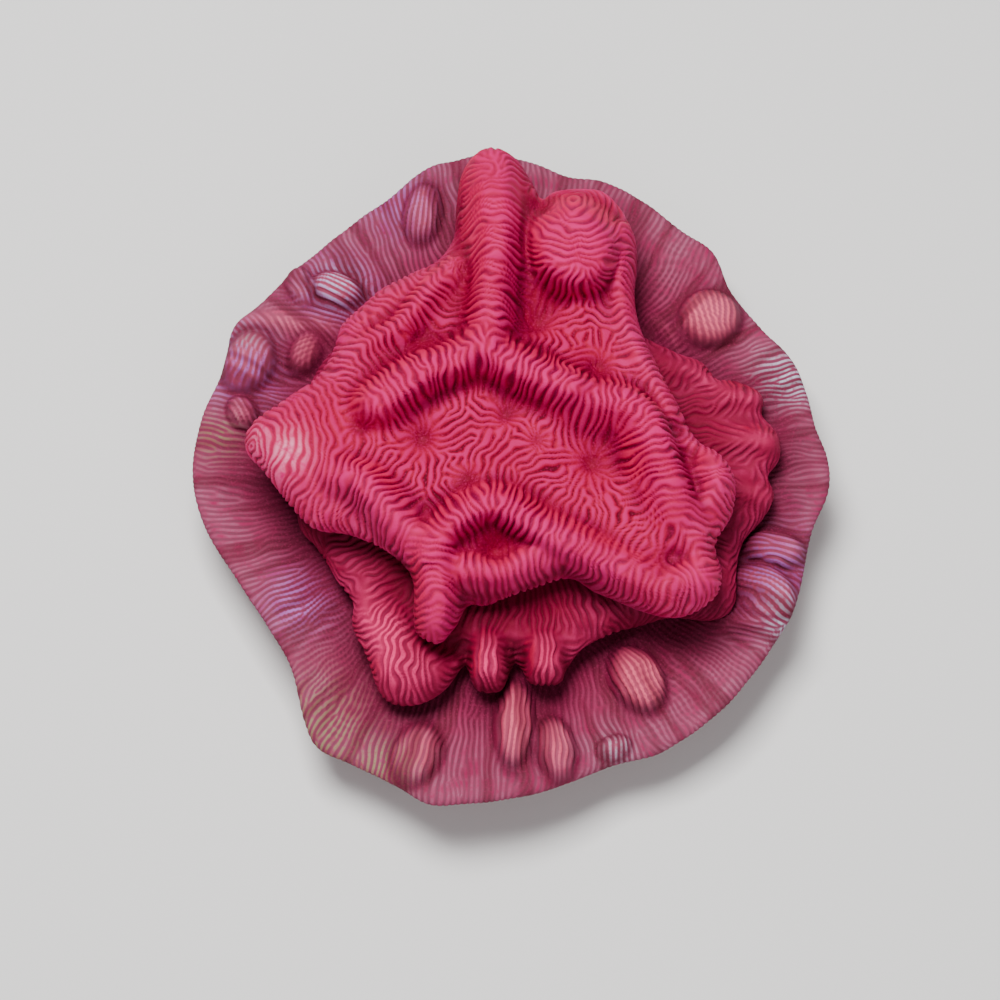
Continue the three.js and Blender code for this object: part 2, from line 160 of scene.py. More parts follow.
def feed(links: bpy.types.NodeLinks, socket: Socket, value: object) -> None:
    """Feeds an input of a node.

    Args:
        links: The links of its tree.
        socket: The input.
        value: A socket to link it to, or what it is set to.
    """
    if isinstance(value, Socket):
        links.new(value, socket)
    else:
        socket.default_value = value


def math_node(tree: bpy.types.NodeTree, operation: str, first: object, second: object) -> Socket:
    """Adds a node that works out one value from two.

    Args:
        tree: The tree that it is added to.
        operation: What the node does.
        first: A socket or a number.
        second: A socket or a number.

    Returns:
        The result's socket.
    """
    node = tree.nodes.new("ShaderNodeMath")
    node.operation = operation
    for socket, value in zip(node.inputs, (first, second)):
        feed(tree.links, socket, value)
    return node.outputs[0]


def blur(values: Array, sigma: float) -> Array:
    """Gaussian blur of a grid that wraps round at its edges.

    Args:
        values: The grid.
        sigma: The blur's size in cells.

    Returns:
        The blurred grid.
    """
    down = np.fft.fftfreq(values.shape[0])[:, None]
    across = np.fft.rfftfreq(values.shape[1])[None, :]
    gauss = np.exp(-2.0 * (np.pi * sigma) ** 2 * (down**2 + across**2))
    return np.fft.irfft2(np.fft.rfft2(values) * gauss, s=values.shape)


def smooth_path(points: tuple, closed: bool, steps: int) -> Array:
    """A Catmull-Rom curve through given points.

    Args:
        points: The points, with any number of coordinates.
        closed: Whether the curve joins its end to its start.
        steps: How many points each stretch gets.

    Returns:
        The curve's points, one a row.
    """
    knots = np.array(points, float)
    if closed:
        ends = [np.roll(knots, shift, 0) for shift in (1, 0, -1, -2)]
    else:
        padded = np.vstack([2 * knots[0] - knots[1], knots, 2 * knots[-1] - knots[-2]])
        ends = [padded[i : len(knots) - 1 + i] for i in range(4)]
    a, b, c, d = [end[:, None] for end in ends]
    t = (np.arange(steps) / steps)[None, :, None]
    curve = 0.5 * (
        2 * b + (c - a) * t + (2 * a - 5 * b + 4 * c - d) * t**2 + (3 * b - a - 3 * c + d) * t**3
    )
    curve = curve.reshape(-1, knots.shape[1])
    return curve if closed else np.vstack([curve, knots[-1:]])


@dataclass(frozen=True)
class Fold:
    """A rounded ridge along a path.

    Attributes:
        path: x, y and height of its points, mm.
        width: How far it spreads to each side, mm.
        lean: How far its top is carried sideways for each mm of height.
        fullness: 1 for a soft ridge, more for one with a broad top and steep sides.
    """

    path: tuple
    width: float
    lean: Place = (0.0, 0.0)
    fullness: float = 1.0

    def rise(self, x: Array, y: Array) -> Array:
        """Height of the ridge above the plate.

        Args:
            x: Plan places.
            y: Plan places.

        Returns:
            The height at each place, mm.
        """
        best = np.full(x.shape, np.inf)
        height = np.zeros_like(x)
        path = smooth_path(self.path, closed=False, steps=5)
        for (ax, ay, ah), (bx, by, bh) in zip(path[:-1], path[1:]):
            dx, dy = bx - ax, by - ay
            t = np.clip(((x - ax) * dx + (y - ay) * dy) / (dx * dx + dy * dy), 0.0, 1.0)
            away = (x - ax - t * dx) ** 2 + (y - ay - t * dy) ** 2
            nearer = away < best
            best = np.where(nearer, away, best)
            height = np.where(nearer, ah + (bh - ah) * t, height)
        return height * np.exp(-((best / self.width**2) ** self.fullness))


@dataclass(frozen=True)
class Mound:
    """A rounded swelling, with its half sizes and height in mm."""

    at: Place
    size: Place
    height: float
    lean: Place = (0.0, 0.0)
    fullness: float = 1.5

    def rise(self, x: Array, y: Array) -> Array:
        """Height of the swelling above the plate at each place."""
        u, v = (x - self.at[0]) / self.size[0], (y - self.at[1]) / self.size[1]
        return self.height * np.exp(-((u * u + v * v) ** self.fullness))


@dataclass(frozen=True)
class Knob:
    """A long egg-shaped lump on the plate: half sizes and height in mm, its long axis in degrees."""

    at: Place
    long: float
    wide: float
    turn: float
    height: float
    lean: Place = (0.0, 0.0)

    @property
    def along(self) -> Place:
        """The direction of its long axis."""
        return math.cos(math.radians(self.turn)), math.sin(math.radians(self.turn))

    def away(self, x: Array, y: Array) -> Array:
        """How far places lie from its middle.

        Args:
            x: Plan places.
            y: Plan places.

        Returns:
            The distance of each place, with the knob's foot at 1.
        """
        ax, ay = self.along
        across, up = x - self.at[0], y - self.at[1]
        return np.hypot((across * ax + up * ay) / self.long, (up * ax - across * ay) / self.wide)

    def rise(self, x: Array, y: Array) -> Array:
        """Height of the lump above the plate at each place."""
        return self.height * np.sqrt(np.clip(1.0 - self.away(x, y) ** 2.6, 0.0, 1.0))

    def lead(self, x: Array, y: Array) -> tuple[Array, float, float]:
        """How much each place lies inside it, and the way that ribs run there."""
        return np.exp(-(self.away(x, y) ** 6)), *self.along


@dataclass(frozen=True)
class Pit:
    """A hollow where a polyp sits, mm."""

    at: Place
    size: float
    depth: float

    def fall(self, x: Array, y: Array) -> Array:
        """Depth of the hollow at each place."""
        return self.depth * np.exp(-((x - self.at[0]) ** 2 + (y - self.at[1]) ** 2) / self.size**2)


@dataclass(frozen=True)
class Wave:
    """A ruffle of the margin: how many waves go round it, their height in mm and their phase."""

    count: int
    height: float
    phase: float


@dataclass(frozen=True)
class Lip:
    """The rolled edge of a plate: how far in and down its upper and its lower quarter reach, mm."""

    upper_reach: float
    upper_drop: float
    lower_reach: float
    lower_drop: float

    @property
    def upper_length(self) -> float:
        """Length of the upper quarter over its face, mm."""
        return math.pi / 2 * math.hypot(self.upper_reach, self.upper_drop) / math.sqrt(2.0)

    @property
    def lower_length(self) -> float:
        """Length of the lower quarter over its face, mm."""
        return math.pi / 2 * math.hypot(self.lower_reach, self.lower_drop) / math.sqrt(2.0)


@dataclass(frozen=True)
class Stem:
    """The stem under a plate, from its wide shoulder to its root, mm."""

    at: Place
    shoulder_radius: float
    shoulder_level: float
    root_radius: float
    root_level: float

    def girth(self, turn: Array) -> Array:
        """How much thicker or thinner it is towards a direction than its mean radius."""
        lobes = ((3, 0.07, 0.4), (5, 0.05, 2.1), (11, 0.02, 1.0))
        return 1.0 + sum(share * np.sin(count * turn + phase) for count, share, phase in lobes)


@dataclass(frozen=True)
class Centre:
    """A polyp centre that ribs run out from.

    Attributes:
        at: Its place, mm.
        reach: How far it leads the ribs, mm.
        pull: How firmly it leads them.
        star: Radius within which its ribs stand in a star, mm.
        dimple: Size and depth of the hollow in its middle, mm.
    """

    at: Place
    reach: float = 4.0
    pull: float = 0.45
    star: float = 1.9
    dimple: Place = (1.3, 0.6)


@dataclass(frozen=True)
class Whorl:
    """A place that ribs circle round, with its radius in mm."""

    at: Place
    radius: float

    def lead(self, x: Array, y: Array) -> tuple[Array, Array, Array]:
        """How much each place lies inside it, and the way that ribs run there.

        Args:
            x: Plan places.
            y: Plan places.

        Returns:
            A share from 0 to 1, and the x and y of the direction.
        """
        across, up = x - self.at[0], y - self.at[1]
        radius = np.hypot(across, up) + 1e-6
        return np.exp(-((radius / self.radius) ** 4)), -up / radius, across / radius


class Tint(Enum):
    """What a patch of the rim is tinted with. The value names the mesh attribute that holds it."""

    OLIVE = "olive"
    WHITE = "white"
    PURPLE = "purple"
    PALE = "pale"


@dataclass(frozen=True)
class Patch:
    """A tinted patch of the rim, with its place and half size in mm."""

    tint: Tint
    at: Place
    size: float
    strength: float = 1.0


@dataclass
class Grid:
    """Values over the plan of a plate, on square cells.

    Attributes:
        low: x and y of the first cell, mm.
        cell: Side of a cell, mm.
        values: One value a cell, row by row from low y.
    """

    low: Array
    cell: float
    values: Array

    @staticmethod
    def cover(curve: Array, cell: float, margin: float) -> tuple[Array, Array, Array]:
        """The cells that cover an outline.

        Args:
            curve: The outline's points.
            cell: Side of a cell, mm.
            margin: How far the cells reach past the outline, mm.

        Returns:
            x and y of the first cell, and x and y of every cell.
        """
        low = curve.min(0) - margin
        size = curve.max(0) + margin - low
        across, up = [int(math.ceil(length / cell / 16)) * 16 for length in size]
        x = low[0] + cell * np.arange(across)[None, :] + np.zeros((up, 1))
        y = low[1] + cell * np.arange(up)[:, None] + np.zeros((1, across))
        return low, x, y

    def at(self, x: Array, y: Array) -> Array:
        """The values at plan places, blended between cells.

        Args:
            x: Plan places.
            y: Plan places.

        Returns:
            One value a place.
        """
        column, row = (x - self.low[0]) / self.cell, (y - self.low[1]) / self.cell
        left, low = np.floor(column).astype(int), np.floor(row).astype(int)
        s, t = column - left, row - low
        rows, columns = self.values.shape
        near = [self.values[(low + j) % rows, (left + i) % columns] for j in (0, 1) for i in (0, 1)]
        return (near[0] * (1 - s) + near[1] * s) * (1 - t) + (near[2] * (1 - s) + near[3] * s) * t


@dataclass
class RibPattern:
    """Ribs grown as stripes over the plan of a plate.

    A Swift-Hohenberg equation makes stripes of one pitch out of noise. An added diffusion along the way that
    ribs are led makes them run that way, and where it is weak they wander.

    Attributes:
        pitch: Distance from rib to rib, mm.
        guide: How firmly the lead is followed.
        looseness: The steepness under which a face hardly leads the ribs.
        steps: How many steps the pattern grows.
        seed: Seed of the first noise and of the wander.
        lead_blur: Blur of the lead, mm.
        wander: How far ribs wave from side to side, mm.
        wander_size: How long those waves are, mm.
        cells: Cells from rib to rib while they grow.
        margin: How far the pattern reaches past the outline, mm.
        step: Length of a step of growth.
        growth: How strongly stripes of the pitch grow.
        star_hold: How firmly the stars round the polyp centres are held.
        finer: How much finer the kept cells are.
        stripes: The grown pattern.
        waving: How far each place is moved along x and along y, mm.
    """

    pitch: float
    guide: float = 0.9
    looseness: float = 0.25
    lead_blur: float = 0.9
    steps: int = 120
    seed: int = 7
    wander: float = 0.26
    wander_size: float = 0.7
    cells: int = 6
    margin: float = 8.0
    step: float = 0.45
    growth: float = 0.6
    star_hold: float = 0.5
    finer: int = 2
    stripes: Grid = field(init=False)
    waving: tuple[Grid, Grid] = field(init=False)

    def lead(self, plate: "Plate", x: Array, y: Array) -> tuple[Array, Array, Array]:
        """The diffusion that leads the ribs: down slopes, out from centres, round whorls and along knobs.

        Args:
            plate: The plate that the ribs grow on.
            x: Plan places.
            y: Plan places.

        Returns:
            The xx, xy and yy parts of its tensor.
        """
        away, reach = plate.polar(x, y)
        edge = np.maximum(away - (reach - plate.lip.upper_reach), 0.0)
        slope = plate.led.at(x, y) - plate.edge_lead * edge + plate.radial_lead * away
        for centre in plate.centres:
            distance = np.hypot(x - centre.at[0], y - centre.at[1])
            slope = slope + centre.pull * centre.reach * (1.0 - np.exp(-distance / centre.reach))
        cell = self.pitch / self.cells
        down_y, down_x = np.gradient(slope, cell)
        sigma = self.lead_blur / cell
        xx, xy, yy = [blur(v, sigma) for v in (down_x**2, down_x * down_y, down_y**2)]
        for place in plate.whorls + plate.knobs + plate.combs:
            inside, along_x, along_y = place.lead(x, y)
            xx = xx * (1 - inside) + FIRM_LEAD * inside * along_x**2
            xy = xy * (1 - inside) + FIRM_LEAD * inside * along_x * along_y
            yy = yy * (1 - inside) + FIRM_LEAD * inside * along_y**2
        weight = xx + yy + self.looseness**2
        return xx / weight, xy / weight, yy / weight

    def grow(self, plate: "Plate") -> None:
        """Grows the pattern and keeps it as a grid of 0 in grooves to 1 on ribs.

        Args:
            plate: The plate that the ribs grow on.
        """
        cell = self.pitch / self.cells
        low, x, y = Grid.cover(plate.curve, cell, self.margin)
        lead_xx, lead_xy, lead_yy = self.lead(plate, x, y)
        stars, hold = self.stars(plate, x, y)
        random = np.random.default_rng(self.seed)
        u = blur(random.standard_normal(x.shape), 1.0)
        u *= 0.4 / u.std()
        wave = 2 * np.pi / self.cells
        down = 2 * np.pi * np.fft.fftfreq(x.shape[0])[:, None]
        across = 2 * np.pi * np.fft.rfftfreq(x.shape[1])[None, :]
        rate = self.growth - (1.0 - (down**2 + across**2) / wave**2) ** 2
        damping = 1.0 / (1.0 - self.step * rate)
        strength = 0.25 * self.guide * self.step / wave**2
        for _ in range(self.steps):
            slope_x = np.roll(u, -1, 1) - np.roll(u, 1, 1)
            slope_y = np.roll(u, -1, 0) - np.roll(u, 1, 0)
            flow_x = lead_xx * slope_x + lead_xy * slope_y
            flow_y = lead_xy * slope_x + lead_yy * slope_y
            flow = np.roll(flow_x, -1, 1) - np.roll(flow_x, 1, 1)
            flow = flow + np.roll(flow_y, -1, 0) - np.roll(flow_y, 1, 0)
            u = np.fft.irfft2(np.fft.rfft2(u + strength * flow - self.step * u**3) * damping, s=u.shape)
            u += hold * (stars - u)
        self.stripes = Grid(low, cell / self.finer, self.refine(u))
        waves = [blur(random.standard_normal(x.shape), self.wander_size / cell) for _ in range(2)]
        self.waving = tuple(Grid(low, cell, wave * self.wander / wave.std()) for wave in waves)

    def stars(self, plate: "Plate", x: Array, y: Array) -> tuple[Array, Array]:
        """The star of ribs round each polyp centre.

        Args:
            plate: The plate that the ribs grow on.
            x: Plan places.
            y: Plan places.

        Returns:
            The stars, and how firmly each cell is held to them.
        """
        stars, hold = np.zeros_like(x), np.zeros_like(x)
        for centre in plate.centres:
            across, up = x - centre.at[0], y - centre.at[1]
            distance = np.hypot(across, up)
            count = round(2 * math.pi * centre.star / (0.9 * self.pitch))
            inside = np.exp(-((distance / centre.star) ** 4))
            rays = np.cos(count * np.arctan2(up, across) + centre.at[0]) * np.minimum(distance / 0.6, 1.0)
            stars = stars * (1 - inside) + rays * inside
            hold = np.maximum(hold, self.star_hold * inside)
        return stars, hold

    def refine(self, u: Array) -> Array:
        """The stripes on finer cells, which their narrow band of waves allows without loss.

        Args:
            u: The stripes as they grew.

        Returns:
            The finer grid, as 0 to 1.
        """
        rows, columns = u.shape
        waves = np.fft.rfft2(u)
        wide = np.zeros((rows * self.finer, columns * self.finer // 2 + 1), complex)
        wide[: rows // 2, : columns // 2] = waves[: rows // 2, : columns // 2]
        wide[-(rows // 2) :, : columns // 2] = waves[-(rows // 2) :, : columns // 2]
        fine = np.fft.irfft2(wide, s=(rows * self.finer, columns * self.finer)) * self.finer**2
        return np.clip(0.5 + 0.5 * fine / (1.5 * fine.std()), 0.0, 1.0)

    def at(self, x: Array, y: Array) -> Array:
        """The pattern at plan places, 0 in grooves to 1 on ribs."""
        return self.stripes.at(x + self.waving[0].at(x, y), y + self.waving[1].at(x, y))


@dataclass
class Face:
    """The upper face of a plate at some places: level, sideways shift and rise above the plain plate, mm."""

    z: Array
    shift_x: Array
    shift_y: Array
    rise: Array


@dataclass
class Rings:
    """Rings of points from a plate's middle to the middle of its root, with what each point carries."""

    places: list[Array] = field(default_factory=list)
    around: list[Array] = field(default_factory=list)
    marks: list[dict[str, Array]] = field(default_factory=list)

    def add(self, places: Array, around: Array, marks: dict[str, Array]) -> None:
        """Adds a ring of places, with each one's share of the way round and its value of each mark."""
        self.places.append(places)
        self.around.append(around)
        self.marks.append(marks)

    def stitch(self) -> Array:
        """The triangles between the rings. The first and the last ring are a single point each.

        Returns:
            Three point numbers a row.
        """
        first = np.concatenate([[0], np.cumsum([len(ring) for ring in self.places])])
        pairs = zip(first, self.around, first[1:], self.around[1:])
        return np.vstack([self.bridge(*pair) for pair in pairs])

    @staticmethod
    def bridge(inner: int, inner_around: Array, outer: int, outer_around: Array) -> Array:
        """The triangles between two neighbouring rings.

        Args:
            inner: Number of the inner ring's first point.
            inner_around: Share of the way round of each of its points.
            outer: Number of the outer ring's first point.
            outer_around: Share of the way round of each of its points.

        Returns:
            Three point numbers a row.
        """
        n, m = len(inner_around), len(outer_around)
        i, j = np.arange(m), np.arange(n)
        if n == 1:
            return np.stack([np.full(m, inner), outer + i, outer + (i + 1) % m], 1)
        if m == 1:
            return np.stack([inner + j, np.full(n, outer), inner + (j + 1) % n], 1)
        halfway = [(a + np.append(a[1:], a[0] + 1.0)) / 2 for a in (inner_around, outer_around)]
        is_inner = np.concatenate([np.ones(n, bool), np.zeros(m, bool)])
        is_inner = is_inner[np.argsort(np.concatenate(halfway), kind="stable")]
        done_inner = np.cumsum(is_inner) - is_inner
        done_outer = np.cumsum(~is_inner) - ~is_inner
        a, b = inner + done_inner % n, outer + done_outer % m
        c = np.where(is_inner, inner + (done_inner + 1) % n, outer + (done_outer + 1) % m)
        return np.stack([a, b, c], 1)


@dataclass(frozen=True)
class Fineness:
    """How finely a plate is meshed, mm: along its rings and from ring to ring, above and below."""

    along: float
    between: float
    under: float = 1.2
    costae: int = 150


@dataclass
class Plate:
    """One plate of the colony, with what shapes it, what leads its ribs and how finely it is meshed."""

    name: str
    slot: str
    centre: Place
    level: float
    flat_radius: float
    dish: float
    waves: tuple[Wave, ...]
    outline: tuple[Place, ...]
    lip: Lip
    stem: Stem
    folds: tuple[Fold | Mound, ...]
    pits: tuple[Pit, ...]
    fineness: Fineness
    ribs: RibPattern
    knobs: tuple[Knob, ...] = ()
    centres: tuple[Centre, ...] = ()
    whorls: tuple[Whorl, ...] = ()
    patches: tuple[Patch, ...] = ()
    combs: tuple[Knob, ...] = ()
    above: tuple["Plate", ...] = ()
    edge_lead: float = 0.6
    radial_lead: float = 0.0
    unevenness: float = 0.12
    softness: float = 0.35
    bareness: float = 0.4
    relief: float = 1.0
    rim_relief: float = 1.0
    curve: Array = field(init=False)
    led: Grid = field(init=False)

    def __post_init__(self) -> None:
        """Works out the outline's curve and reach, and the grids of the upper face."""
        self.curve = smooth_path(self.outline[::-1], closed=True, steps=16)
        lengths = np.hypot(*(np.roll(self.curve, -1, 0) - self.curve).T)
        self._length = np.concatenate([[0.0], np.cumsum(lengths)])
        away = self.curve - np.array(self.centre)
        turn = np.mod(np.arctan2(away[:, 1], away[:, 0]), 2 * np.pi)
        order = np.argsort(turn)
        self._turns = np.linspace(0.0, 2 * np.pi, DIRECTIONS, endpoint=False)
        reach = np.interp(self._turns, turn[order], np.hypot(*away.T)[order], period=2 * np.pi)
        self._reach = reach
        self._soft_reach = blur(reach[None, :], SOFT_REACH)[0]
        low, x, y = Grid.cover(self.curve, FACE_CELL, FACE_MARGIN)
        self.led = Grid(low, FACE_CELL, self.plain_face(x, y, self.folds).z)
        face = self.plain_face(x, y, self.folds + self.knobs)
        softness = self.softness / FACE_CELL
        fields = (face.z, face.shift_x, face.shift_y, face.rise)
        self._face = [Grid(low, FACE_CELL, blur(values, softness)) for values in fields]
        level = self._face[0].values
        up_y, up_x = np.gradient(level, FACE_CELL)
        # Painted light: how steep each side is where it faces the key lamp, for the brighter red of lit
        # flanks.
        lit_side = ramp(0.6 * up_x - up_y, -0.6, 0.6)
        self._steep = Grid(low, FACE_CELL, blur(np.hypot(up_x, up_y) * lit_side, softness))
        # Depth of each hollow below the blurred face, for its painted shade.
        self._hollow = Grid(low, FACE_CELL, blur(level, HOLLOW_SIZE / FACE_CELL) - level)

    def polar(self, x: Array, y: Array) -> tuple[Array, Array]:
        """How far places lie from the plate's centre, and how far the outline does on that side.

        Args:
            x: Plan places.
            y: Plan places.

        Returns:
            Both distances of each place, mm.
        """
        across, up = x - self.centre[0], y - self.centre[1]
        turn = np.mod(np.arctan2(up, across), 2 * np.pi)
        return np.hypot(across, up), np.interp(turn, self._turns, self._reach, period=2 * np.pi)

    def upper_face(self, x: Array, y: Array) -> Face:
        """The plate's upper face at plan places, with its creases softened."""
        return Face(*(grid.at(x, y) for grid in self._face))

    def plain_face(self, x: Array, y: Array, swellings: tuple) -> Face:
        """The plate's upper face, straight from what shapes it.

        Args:
            x: Plan places.
            y: Plan places.
            swellings: The folds, mounds and knobs that count.

        Returns:
            The face there.
        """
        across, up = x - self.centre[0], y - self.centre[1]
        away, turn = np.hypot(across, up), np.arctan2(up, across)
        share = away / np.interp(np.mod(turn, 2 * np.pi), self._turns, self._soft_reach, period=2 * np.pi)
        share = np.minimum(share, 1.08)
        blended = np.full(x.shape, 1e-9)
        lean_x, lean_y = np.zeros_like(x), np.zeros_like(x)
        for fold in swellings:
            strength = fold.rise(x, y) ** BLEND_POWER
            blended += strength
            lean_x += fold.lean[0] * strength
            lean_y += fold.lean[1] * strength
        rise = blended ** (1.0 / BLEND_POWER)
        z = rise + self.dish * share**2
        dimples = [Pit(centre.at, *centre.dimple) for centre in self.centres]
        for pit in (*self.pits, *dimples):
            z -= pit.fall(x, y)
        for wave in self.waves:
            z += wave.height * share**3 * np.sin(wave.count * turn + wave.phase)
        lumps = np.sin(0.9 * x + 1.7 * np.sin(0.5 * y)) + np.sin(0.8 * y + 1.3 * np.sin(0.6 * x))
        z += self.unevenness * lumps
        free = np.ones_like(x)
        flat = self.flat_radius * FLAT_SHARE
        if flat > 0:
            free = ramp(away, flat, flat + 2 * (self.flat_radius - flat))
        return Face(
            self.level + z * free,
            lean_x / blended * rise * free,
            lean_y / blended * rise * free,
            rise * free,
        )

    def rays(self, around: Array) -> tuple[Array, Array, Array]:
        """Rays from the centre to the outline.

        Args:
            around: Each ray's share of the way round the outline.

        Returns:
            Their x and y directions and their reach in mm.
        """
        closed = np.vstack([self.curve, self.curve[:1]])
        at = around * self._length[-1]
        away = np.stack([np.interp(at, self._length, closed[:, i]) - self.centre[i] for i in (0, 1)])
        reach = np.hypot(*away)
        return away[0] / reach, away[1] / reach, reach

    def top_ring(self, share: float, around: Array) -> tuple[Array, dict[str, Array]]:
        """A ring on the upper face, from the flat middle at 0 to the lip at 1.

        Args:
            share: Where the ring lies on its stretch.
            around: Each point's share of the way round the outline.

        Returns:
            The ring's points, and what each of them carries.
        """
        dx, dy, reach = self.rays(around)
        flat = self.flat_radius * FLAT_SHARE
        room = 2 * float(self._reach.min()) - self.lip.upper_reach - flat
        round_reach = min(float(self._reach.mean()), room - RING_ROOM)
        out = flat + share * (round_reach + (reach - round_reach) * share - self.lip.upper_reach - flat)
        x, y = self.centre[0] + dx * out, self.centre[1] + dy * out
        face = self.upper_face(x, y)
        places = np.stack([x + face.shift_x, y + face.shift_y, face.z], 1)
        return places, {"x": x, "y": y, "out": out / reach, "rise": face.rise, "under": 0 * x}

    def lip_ring(self, share: float, around: Array) -> tuple[Array, dict[str, Array]]:
        """A ring on the lip, from its inner edge at 0 over its outermost line at 1 to its end at 2.

        Args:
            share: Where the ring lies on its stretch.
            around: Each point's share of the way round the outline.

        Returns:
            The ring's points, and what each of them carries.
        """
        upper, lower = min(share, 1.0) * math.pi / 2, max(share - 1.0, 0.0) * math.pi / 2
        lip = self.lip
        inward = lip.upper_reach * (1.0 - math.sin(upper)) + lip.lower_reach * (1.0 - math.cos(lower))
        drop = lip.upper_drop * (1.0 - math.cos(upper)) + lip.lower_drop * math.sin(lower)
        length = lip.upper_length * min(share, 1.0) + lip.lower_length * max(share - 1.0, 0.0)
        dx, dy, reach = self.rays(around)
        out = reach - inward
        face_out = reach if share > 1.0 else out
        face = self.upper_face(self.centre[0] + dx * face_out, self.centre[1] + dy * face_out)
        x, y = self.centre[0] + dx * out, self.centre[1] + dy * out
        places = np.stack([x + face.shift_x, y + face.shift_y, face.z - drop], 1)
        unrolled = reach - lip.upper_reach + length
        marks = {
            "x": self.centre[0] + dx * unrolled,
            "y": self.centre[1] + dy * unrolled,
            "out": out / reach,
            "rise": face.rise,
            "under": ramp(np.full(len(x), share), 1.4, 2.0),
        }
        return places, marks

    def under_ring(self, share: float, around: Array) -> tuple[Array, dict[str, Array]]:
        """A ring on the underside, from the lip at 0 to the shoulder at 1 and the root at 2.

        Args:
            share: Where the ring lies on its stretch.
            around: Each point's share of the way round the outline.

        Returns:
            The ring's points, and what each of them carries.
        """
        dx, dy, reach = self.rays(around)
        lip, stem = self.lip, self.stem
        girth = stem.girth(np.arctan2(dy, dx))
        face = self.upper_face(self.centre[0] + dx * reach, self.centre[1] + dy * reach)
        out = reach - lip.lower_reach
        start = [self.centre[0] + dx * out + face.shift_x, self.centre[1] + dy * out + face.shift_y]
        start.append(face.z - lip.upper_drop - lip.lower_drop)
        radius = stem.shoulder_radius * girth
        middle = [stem.at[0] + dx * radius, stem.at[1] + dy * radius, np.full(len(dx), stem.shoulder_level)]
        radius = stem.root_radius * girth
        root = [stem.at[0] + dx * radius, stem.at[1] + dy * radius, np.full(len(dx), stem.root_level)]
        ends, t = ((start, middle), share) if share <= 1.0 else ((middle, root), share - 1.0)
        blend = (t, t, ease(t) if share <= 1.0 else t)
        places = np.stack([a + (b - a) * s for a, b, s in zip(*ends, blend)], 1)
        marks = {
            "x": places[:, 0],
            "y": places[:, 1],
            "out": 0 * dx,
            "rise": 0 * dx,
            "under": 1 + 0 * dx,
            "bare": np.full(len(dx), min(share, 1.0)),
            "costa": 0.5 + 0.5 * np.cos(2 * np.pi * self.fineness.costae * around),
        }
        return places, marks

    @staticmethod
    def evenly(lengths: Array, spacing: float, fewest: int) -> Array:
        """Where to place points along a stretch so that they are evenly spaced.

        Args:
            lengths: Lengths of its equal shares, mm.
            spacing: The wanted spacing, mm.
            fewest: The fewest points.

        Returns:
            The shares of the stretch, from 0 and without 1.
        """
        total = np.concatenate([[0.0], np.cumsum(lengths)])
        count = max(fewest, int(round(total[-1] / spacing)))
        return np.interp(np.arange(count) / count * total[-1], total, np.linspace(0.0, 1.0, len(total)))

    def add_ring(self, rings: Rings, kind: Callable, share: float, spacing: float) -> None:
        """Adds a ring whose points are evenly spaced in the solid.

        Args:
            rings: The rings so far.
            kind: top_ring or lip_ring.
            share: Where the ring lies on its stretch.
            spacing: The spacing, mm.
        """
        survey = kind(share, np.linspace(0.0, 1.0, 1201))[0]
        around = self.evenly(np.linalg.norm(np.diff(survey, axis=0), axis=1), spacing, 8)
        places, marks = kind(share, around)
        rings.add(places, around, marks)

    def rings(self) -> Rings:
        """All rings of the plate.

        Returns:
            The rings, from the middle of its upper face to the middle of its root.
        """
        rings = Rings()
        fine, lip, stem = self.fineness, self.lip, self.stem
        zero = np.zeros(1)
        hub, marks = self.top_ring(0.0, zero)
        if self.flat_radius > 0:
            hub, marks = np.array([[*self.centre, self.level]]), dict(marks, x=zero, y=zero, out=zero)
        rings.add(hub, zero, marks)
        shares = np.linspace(0.0, 1.0, 101)
        survey = np.stack([self.top_ring(share, np.linspace(0.0, 1.0, 300))[0] for share in shares])
        steps = np.linalg.norm(np.diff(survey, axis=0), axis=2).mean(1)
        first = 0 if self.flat_radius > 0 else 1
        for share in self.evenly(steps, fine.between, 8)[first:]:
            self.add_ring(rings, self.top_ring, float(share), fine.along)
        upper = max(3, int(lip.upper_length / fine.between))
        lower = max(3, int(lip.lower_length / fine.between))
        for share in [k / upper for k in range(upper)] + [1 + k / lower for k in range(lower + 1)]:
            self.add_ring(rings, self.lip_ring, share, fine.along)
        around = np.arange(4 * fine.costae) / (4 * fine.costae)
        reach = float(self._reach.mean())
        steps = max(4, int((reach - stem.shoulder_radius) / fine.under))
        stem_steps = max(3, int(abs(stem.shoulder_level - stem.root_level) / fine.under))
        shares = [k / steps for k in range(1, steps + 1)]
        shares += [1 + k / stem_steps for k in range(1, stem_steps + 1)]
        for share in shares:
            places, marks = self.under_ring(share, around)
            rings.add(places, around, marks)
        foot = np.array([[*stem.at, stem.root_level]])
        rings.add(foot, zero, {key: values[:1] for key, values in marks.items()})
        return rings

